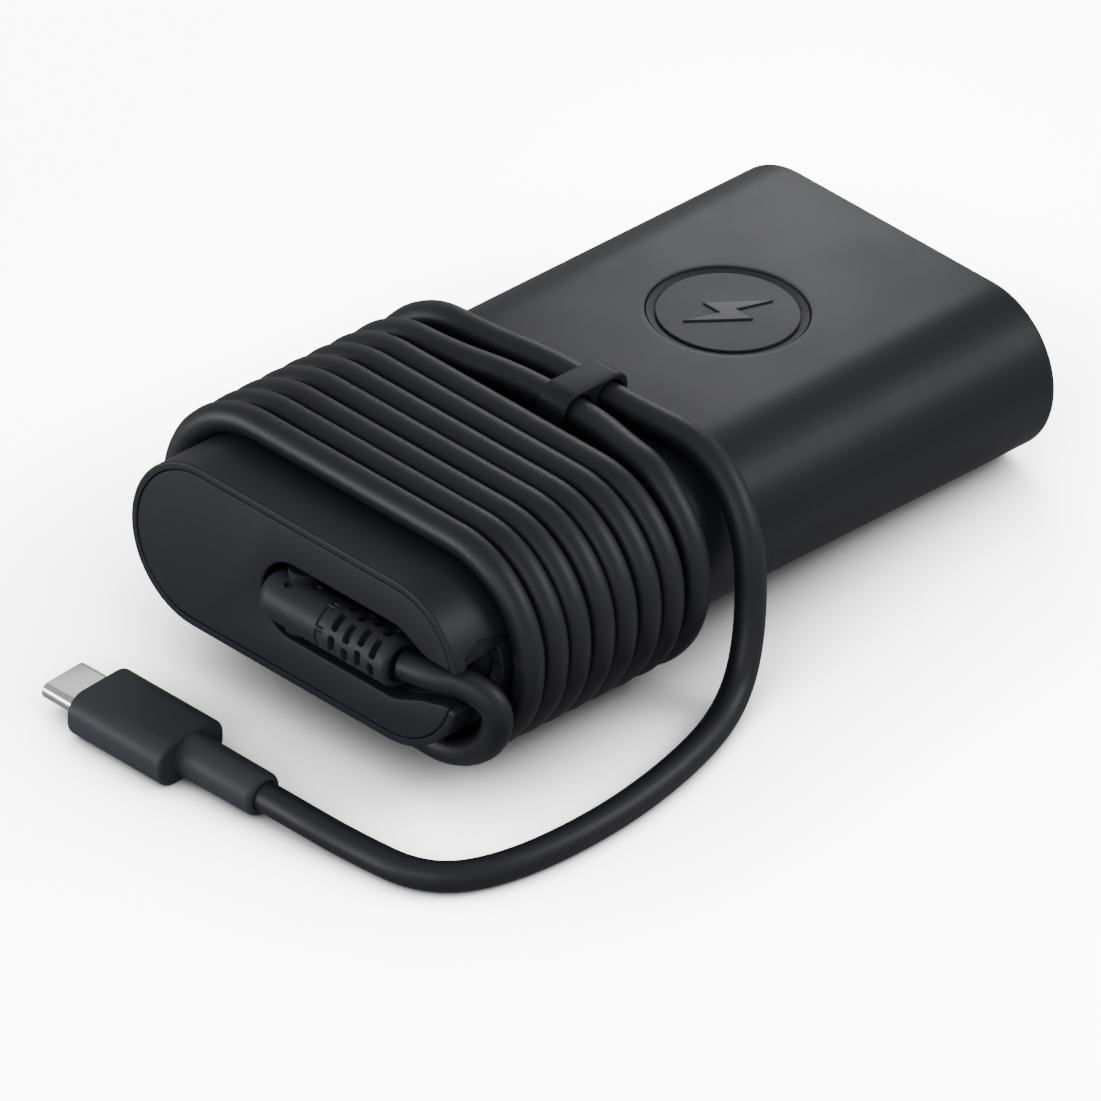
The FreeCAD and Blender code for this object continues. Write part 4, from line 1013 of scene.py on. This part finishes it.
def spline_curve(name, points, bevel):
    """Curve object of one open NURBS spline of order 3 that starts and ends at its end points."""
    data = bpy.data.curves.new(name, "CURVE")
    data.dimensions = "3D"
    data.resolution_u = 10
    data.bevel_depth = bevel
    data.bevel_resolution = 6
    data.use_fill_caps = True
    spline = data.splines.new("NURBS")
    spline.points.add(len(points) - 1)
    flat = np.hstack([points, np.ones((len(points), 1))])
    spline.points.foreach_set("co", flat.ravel())
    spline.order_u = 3
    spline.use_endpoint_u = True
    spline.resolution_u = 10
    return new_object(name, data)


def curve_mesh(name, points, bevel):
    """Mesh of such a curve: its middle line with no bevel, or else its tube."""
    curve = spline_curve(name + "_route", points, bevel)
    bpy.context.view_layer.update()
    mesh = bpy.data.meshes.new_from_object(curve)
    data = curve.data
    bpy.data.objects.remove(curve)
    bpy.data.curves.remove(data)
    return mesh


def middle_line(points):
    """Points of the route's own spline, in order."""
    mesh = curve_mesh("middle_line", points, 0.0)
    line = np.zeros(len(mesh.vertices) * 3)
    mesh.vertices.foreach_get("co", line)
    bpy.data.meshes.remove(mesh)
    return line.reshape(-1, 3)


def line_length(line):
    return float(np.linalg.norm(np.diff(line, axis=0), axis=1).sum())


def build_cord_lead():
    """Short stretch from the strain relief through the notch and under the case."""
    case = case_sizes()
    diameter = cord_sizes().diameter * MM
    points = lead_points()
    mesh = curve_mesh("cord_lead", points, diameter / 2)
    mesh.polygons.foreach_set("use_smooth", np.ones(len(mesh.polygons), dtype=bool))
    lead = new_object("cord_exit_lead", mesh)
    dressed(lead, "cord_jacket", None, ["cord_lead"])
    front = -case.length
    tuple(on_case((24.0, front, 11.5)))
    tuple(on_case((24.0, front, -1.5)))
    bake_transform(lead)
    line = middle_line(points)


def build_cord():
    """Nine turns round the case, down to the table and forward to the plug, as one spline."""
    diameter = cord_sizes().diameter * MM
    points = np.vstack([wound_points(), on_table(FREE_ROUTE)])
    line = middle_line(points)
    cord = dressed(spline_curve("output_cord", points, diameter / 2), "cord_jacket", "case",
                   ["cord_coil", "cord_tail"])
    plug = [bpy.data.objects[name] for name in ("plug_grip", "plug_sleeve", "plug_shroud")]


CLIP_FRONT, CLIP_REAR, CLIP_FOOT, CLIP_TOP = 42.5, 55.0, 25.3, 30.0
CLIP_LEFT, CLIP_RIGHT = 2.2, 7.2
CLIP_RUNS = (51.6, 45.6)
CLIP_CLEARANCE = 0.32


def build_clip():
    """Flat rubber bar with two arches that hold the last two runs, rounded at its top corners."""
    case = case_sizes()
    level = wrap_levels()[1]
    radius = CORD_DIAMETER / 2 + CLIP_CLEARANCE
    dip = math.degrees(math.asin((level - CLIP_FOOT) / radius))
    arches = [arc((run_at, level), radius, -dip, 180 + dip, 24) for run_at in CLIP_RUNS]
    outline = np.vstack([
        [(CLIP_FRONT, CLIP_FOOT)], arches[1][::-1], arches[0][::-1], [(CLIP_REAR, CLIP_FOOT)],
        arc((CLIP_REAR - 2.6, CLIP_TOP - 2.6), 2.6, 0, 90, 12),
        arc((CLIP_FRONT + 2.8, CLIP_TOP - 2.8), 2.8, 90, 180, 12)])
    outline[:, 0] -= case.length
    rings = extruded(outline, round_stations(CLIP_LEFT, CLIP_RIGHT, 0.35, 0.35), "x")
    piece("run_clip", [skin(rings)], "clip_rubber", "clip", ["cable_clip"])


# ---------------------------------------------------------------- plug

PLUG_FRONT, PLUG_BACK, PLUG_SIDE, PLUG_LEVEL = -20.0, -2.6, -15.45, 3.4


def stadium_loop(width, height, count=24):
    """Two half circles joined by straight runs, anticlockwise, in the plug's own plane."""
    reach = (width - height) / 2
    return np.vstack([arc((PLUG_SIDE + reach, PLUG_LEVEL), height / 2, -90, 90, count),
                      arc((PLUG_SIDE - reach, PLUG_LEVEL), height / 2, 90, 270, count)])


def build_plug():
    """USB-C plug: grip block, the sleeve on its cord and the drawn steel shell."""
    grip_loop = rounded_rectangle((PLUG_SIDE, PLUG_LEVEL), 12.3, 6.8, 3.0, 14)
    grip = extruded(grip_loop, round_stations(PLUG_FRONT, PLUG_BACK, 0.45, 0.5, 6), "x")
    piece("plug_grip", [skin(grip)], "plug_grip", "case", ["plug_overmould"], on_table)

    end = PLUG_BACK + 13.7
    turns = np.linspace(0, math.pi / 2, 7)
    profile = [(PLUG_BACK - 0.3, 3.2)]
    profile += [(end - 0.9 + 0.9 * math.sin(t), 2.25 + 0.9 * math.cos(t)) for t in turns]
    profile += [(end - 0.35, 2.2), (end - 0.4, 0.6)]
    sleeve = turned(profile, (PLUG_SIDE, PLUG_LEVEL), "x", 72)
    piece("plug_sleeve", [skin(sleeve)], "plug_grip", "case", ["plug_strain_relief"], on_table)

    outer = stadium_loop(8.25, 2.4)
    mouth = PLUG_FRONT - 6.65
    stations = [(PLUG_FRONT + 5.0, 0.0), (mouth + 0.12, 0.0), (mouth + 0.03, 0.04), (mouth, 0.12),
                (mouth + 0.02, 0.24), (mouth + 0.1, 0.3), (mouth + 6.2, 0.3)]
    shell = extruded(outer, stations, "x")
    piece("plug_shroud", [skin(shell)], "plug_steel", "case", ["plug_shell"], on_table)


# ---------------------------------------------------------------- stage

def facing(made, back, place):
    """Stands a lamp or camera at a place in metres with its back to a direction and its sides level."""
    back = np.array(back, dtype=float) / np.linalg.norm(back)
    right = np.cross([0.0, 0.0, 1.0], back)
    right /= np.linalg.norm(right)
    matrix = np.eye(4)
    matrix[:3, :3] = np.stack([right, np.cross(back, right), back], -1)
    matrix[:3, 3] = place
    made.matrix_world = Matrix(matrix.tolist())


def soft_box(name, place, aim, size, power, spread=180.0):
    """Rectangular area light at a place in metres that faces the aim point."""
    data = bpy.data.lights.new(name, "AREA")
    data.shape = "RECTANGLE"
    data.spread = math.radians(spread)
    data.size, data.size_y = size
    data.energy = power
    facing(new_object(name, data), np.subtract(place, aim), place)


def build_stage():
    """Floor, world, lamps and camera.

    To the camera alone the floor is paler than the colour that lights the adapter, and an occlusion node
    deepens its contact shadows.
    """
    settings = bpy.context.scene.adapter_stage
    reach = 3.0
    vertices = [(-reach, -reach, 0), (reach, -reach, 0), (reach, reach, 0), (-reach, reach, 0)]
    mesh = bpy.data.meshes.new("floor")
    mesh.from_pydata(vertices, [], [(0, 1, 2, 3)])
    floor = new_object("floor", mesh)
    material = bpy.data.materials.new("floor")
    material.use_nodes = True
    tree = material.node_tree
    shader = tree.nodes["Principled BSDF"]
    seen = tree.nodes.new("ShaderNodeLightPath").outputs["Is Camera Ray"]
    paint = add(tree, "ShaderNodeMix", {"data_type": "RGBA"})
    tree.links.new(seen, paint.inputs[0])
    paint.inputs[6].default_value = (*settings.floor, 1.0)
    shelter = tree.nodes.new("ShaderNodeAmbientOcclusion")
    shelter.samples = 48
    shelter.inputs["Distance"].default_value = 0.04
    openness = maths(tree, "POWER", shelter.outputs["AO"], 1.6)
    lifted = tree.nodes.new("ShaderNodeVectorMath")
    lifted.operation = "SCALE"
    lifted.inputs[0].default_value = [settings.floor_lift * value for value in settings.floor]
    tree.links.new(openness, lifted.inputs["Scale"])
    tree.links.new(lifted.outputs[0], paint.inputs[7])
    tree.links.new(paint.outputs[2], shader.inputs["Base Color"])
    shader.inputs["Roughness"].default_value = 0.25
    shader.inputs["Specular IOR Level"].default_value = 0.5
    mesh.materials.append(material)
    floor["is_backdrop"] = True

    world = bpy.data.worlds.new("studio")
    world.use_nodes = True
    world.node_tree.nodes["Background"].inputs["Color"].default_value = (1.0, 1.0, 1.0, 1.0)
    world.node_tree.nodes["Background"].inputs["Strength"].default_value = 0.47
    bpy.context.scene.world = world

    centre = (0.0, 0.0, 0.01)
    soft_box("key", (-0.28, 0.12, 0.16), centre, (0.15, 0.1), 0.03)
    soft_box("sheen", (-0.085, 0.13, 0.085), (-0.02, 0.055, 0.025), (0.06, 0.05), 0.012, 80.0)
    soft_box("rim", (0.45, 0.45, 0.44), centre, (0.4, 0.3), 2.2)
    soft_box("bounce", (0.5, -0.1, 0.12), centre, (0.5, 0.15), 0.12)
    soft_box("left_fill", (-0.55, -0.75, 0.1), centre, (0.7, 0.2), 4.2)
    soft_box("front_fill", (0.3, -0.9, 0.5), centre, (0.6, 0.4), 2.6)

    azimuth, elevation = settings.azimuth, settings.elevation
    back = np.array([math.sin(azimuth) * math.cos(elevation), -math.cos(azimuth) * math.cos(elevation),
                     math.sin(elevation)])
    data = bpy.data.cameras.new("camera")
    data.sensor_width = 36.0
    data.lens = data.sensor_width * settings.distance / settings.scale
    data.clip_start = 0.1
    data.clip_end = 50.0
    camera = new_object("camera", data)
    facing(camera, back, np.array(settings.aim) + back * settings.distance)
    bpy.context.scene.camera = camera


def dress_inner_nodes():
    """Gives every CAD node that still shows the finish of its own slot."""
    for row in frame["record"]["subparts"]:
        node = frame["nodes"].get(row["node"])
        if node is None:
            continue
        node.data.materials.clear()
        node.data.materials.append(finish(row["material_slot"]))


# ---------------------------------------------------------------- operators and panel

class ADAPTER_OT_stage(bpy.types.Operator):
    """Floor, lights and camera."""
    bl_idname = "adapter.stage"
    bl_label = "Stage"

    def execute(self, context):
        build_stage()
        return {"FINISHED"}


class ADAPTER_OT_inner_nodes(bpy.types.Operator):
    """Finishes of the parts inside the case."""
    bl_idname = "adapter.inner_nodes"
    bl_label = "Inner parts"

    def execute(self, context):
        dress_inner_nodes()
        return {"FINISHED"}


class ADAPTER_OT_sleeve(bpy.types.Operator):
    """Seamless sleeve of the case."""
    bl_idname = "adapter.sleeve"
    bl_label = "Sleeve"

    def execute(self, context):
        build_sleeve()
        return {"FINISHED"}


class ADAPTER_OT_front_cap(bpy.types.Operator):
    """Cap with the cord pocket."""
    bl_idname = "adapter.front_cap"
    bl_label = "Front cap"

    def execute(self, context):
        build_front_cap()
        return {"FINISHED"}


class ADAPTER_OT_mains_end(bpy.types.Operator):
    """Rear cap, inlet and its pins."""
    bl_idname = "adapter.mains_end"
    bl_label = "Mains end"

    def execute(self, context):
        build_mains_end()
        return {"FINISHED"}


class ADAPTER_OT_badge(bpy.types.Operator):
    """Round badge on the top."""
    bl_idname = "adapter.badge"
    bl_label = "Badge"

    def execute(self, context):
        build_badge()
        return {"FINISHED"}


class ADAPTER_OT_label(bpy.types.Operator):
    """Blank label on the underside."""
    bl_idname = "adapter.label"
    bl_label = "Label"

    def execute(self, context):
        build_label()
        return {"FINISHED"}


class ADAPTER_OT_strain_relief(bpy.types.Operator):
    """Slotted rubber strain relief."""
    bl_idname = "adapter.strain_relief"
    bl_label = "Strain relief"

    def execute(self, context):
        build_strain_relief()
        return {"FINISHED"}


class ADAPTER_OT_clip(bpy.types.Operator):
    """Rubber clip on the last turns."""
    bl_idname = "adapter.clip"
    bl_label = "Clip"

    def execute(self, context):
        build_clip()
        return {"FINISHED"}


class ADAPTER_OT_plug(bpy.types.Operator):
    """USB-C plug."""
    bl_idname = "adapter.plug"
    bl_label = "Plug"

    def execute(self, context):
        build_plug()
        return {"FINISHED"}


class ADAPTER_OT_cord_lead(bpy.types.Operator):
    """Cord from the relief to the first turn."""
    bl_idname = "adapter.cord_lead"
    bl_label = "Cord exit"

    def execute(self, context):
        build_cord_lead()
        return {"FINISHED"}


class ADAPTER_OT_cord(bpy.types.Operator):
    """Wound cord and its free end."""
    bl_idname = "adapter.cord"
    bl_label = "Cord"

    def execute(self, context):
        build_cord()
        return {"FINISHED"}


OPERATORS = [
    ADAPTER_OT_stage, ADAPTER_OT_inner_nodes, ADAPTER_OT_sleeve, ADAPTER_OT_front_cap, ADAPTER_OT_mains_end,
    ADAPTER_OT_badge, ADAPTER_OT_label, ADAPTER_OT_strain_relief, ADAPTER_OT_clip, ADAPTER_OT_plug,
    ADAPTER_OT_cord_lead, ADAPTER_OT_cord,
]


SETTINGS = {
    "adapter_case": AdapterCaseSizes, "adapter_pocket": AdapterPocketSizes, "adapter_cord": AdapterCordSizes,
    "adapter_colours": AdapterFinishColours, "adapter_stage": AdapterStageSettings,
}


class ADAPTER_PT_panel(bpy.types.Panel):
    """Builders of the adapter's pieces and their settings."""
    bl_idname = "ADAPTER_PT_panel"
    bl_label = "Power adapter"
    bl_space_type = "VIEW_3D"
    bl_region_type = "UI"
    bl_category = "Adapter"

    def draw(self, context):
        for made in OPERATORS:
            self.layout.operator(made.bl_idname)
        for name, group in SETTINGS.items():
            for field in group.__annotations__:
                self.layout.prop(getattr(context.scene, name), field)


def register():
    for group in SETTINGS.values():
        bpy.utils.register_class(group)
    for name, group in SETTINGS.items():
        setattr(bpy.types.Scene, name, bpy.props.PointerProperty(type=group))
    for made in OPERATORS:
        bpy.utils.register_class(made)
    bpy.utils.register_class(ADAPTER_PT_panel)


def unregister():
    bpy.utils.unregister_class(ADAPTER_PT_panel)
    for made in reversed(OPERATORS):
        bpy.utils.unregister_class(made)
    for name in SETTINGS:
        delattr(bpy.types.Scene, name)
    for group in reversed(SETTINGS.values()):
        bpy.utils.unregister_class(group)


def main():
    register()
    for made in OPERATORS:
        getattr(bpy.ops.adapter, made.bl_idname.split(".")[1])()
    boxes = {"cad": CAD_BOX, "visual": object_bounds()}
    plain = {key: [[float(value) for value in corner] for corner in box] for key, box in boxes.items()}


if __name__ == "__main__":
    main()
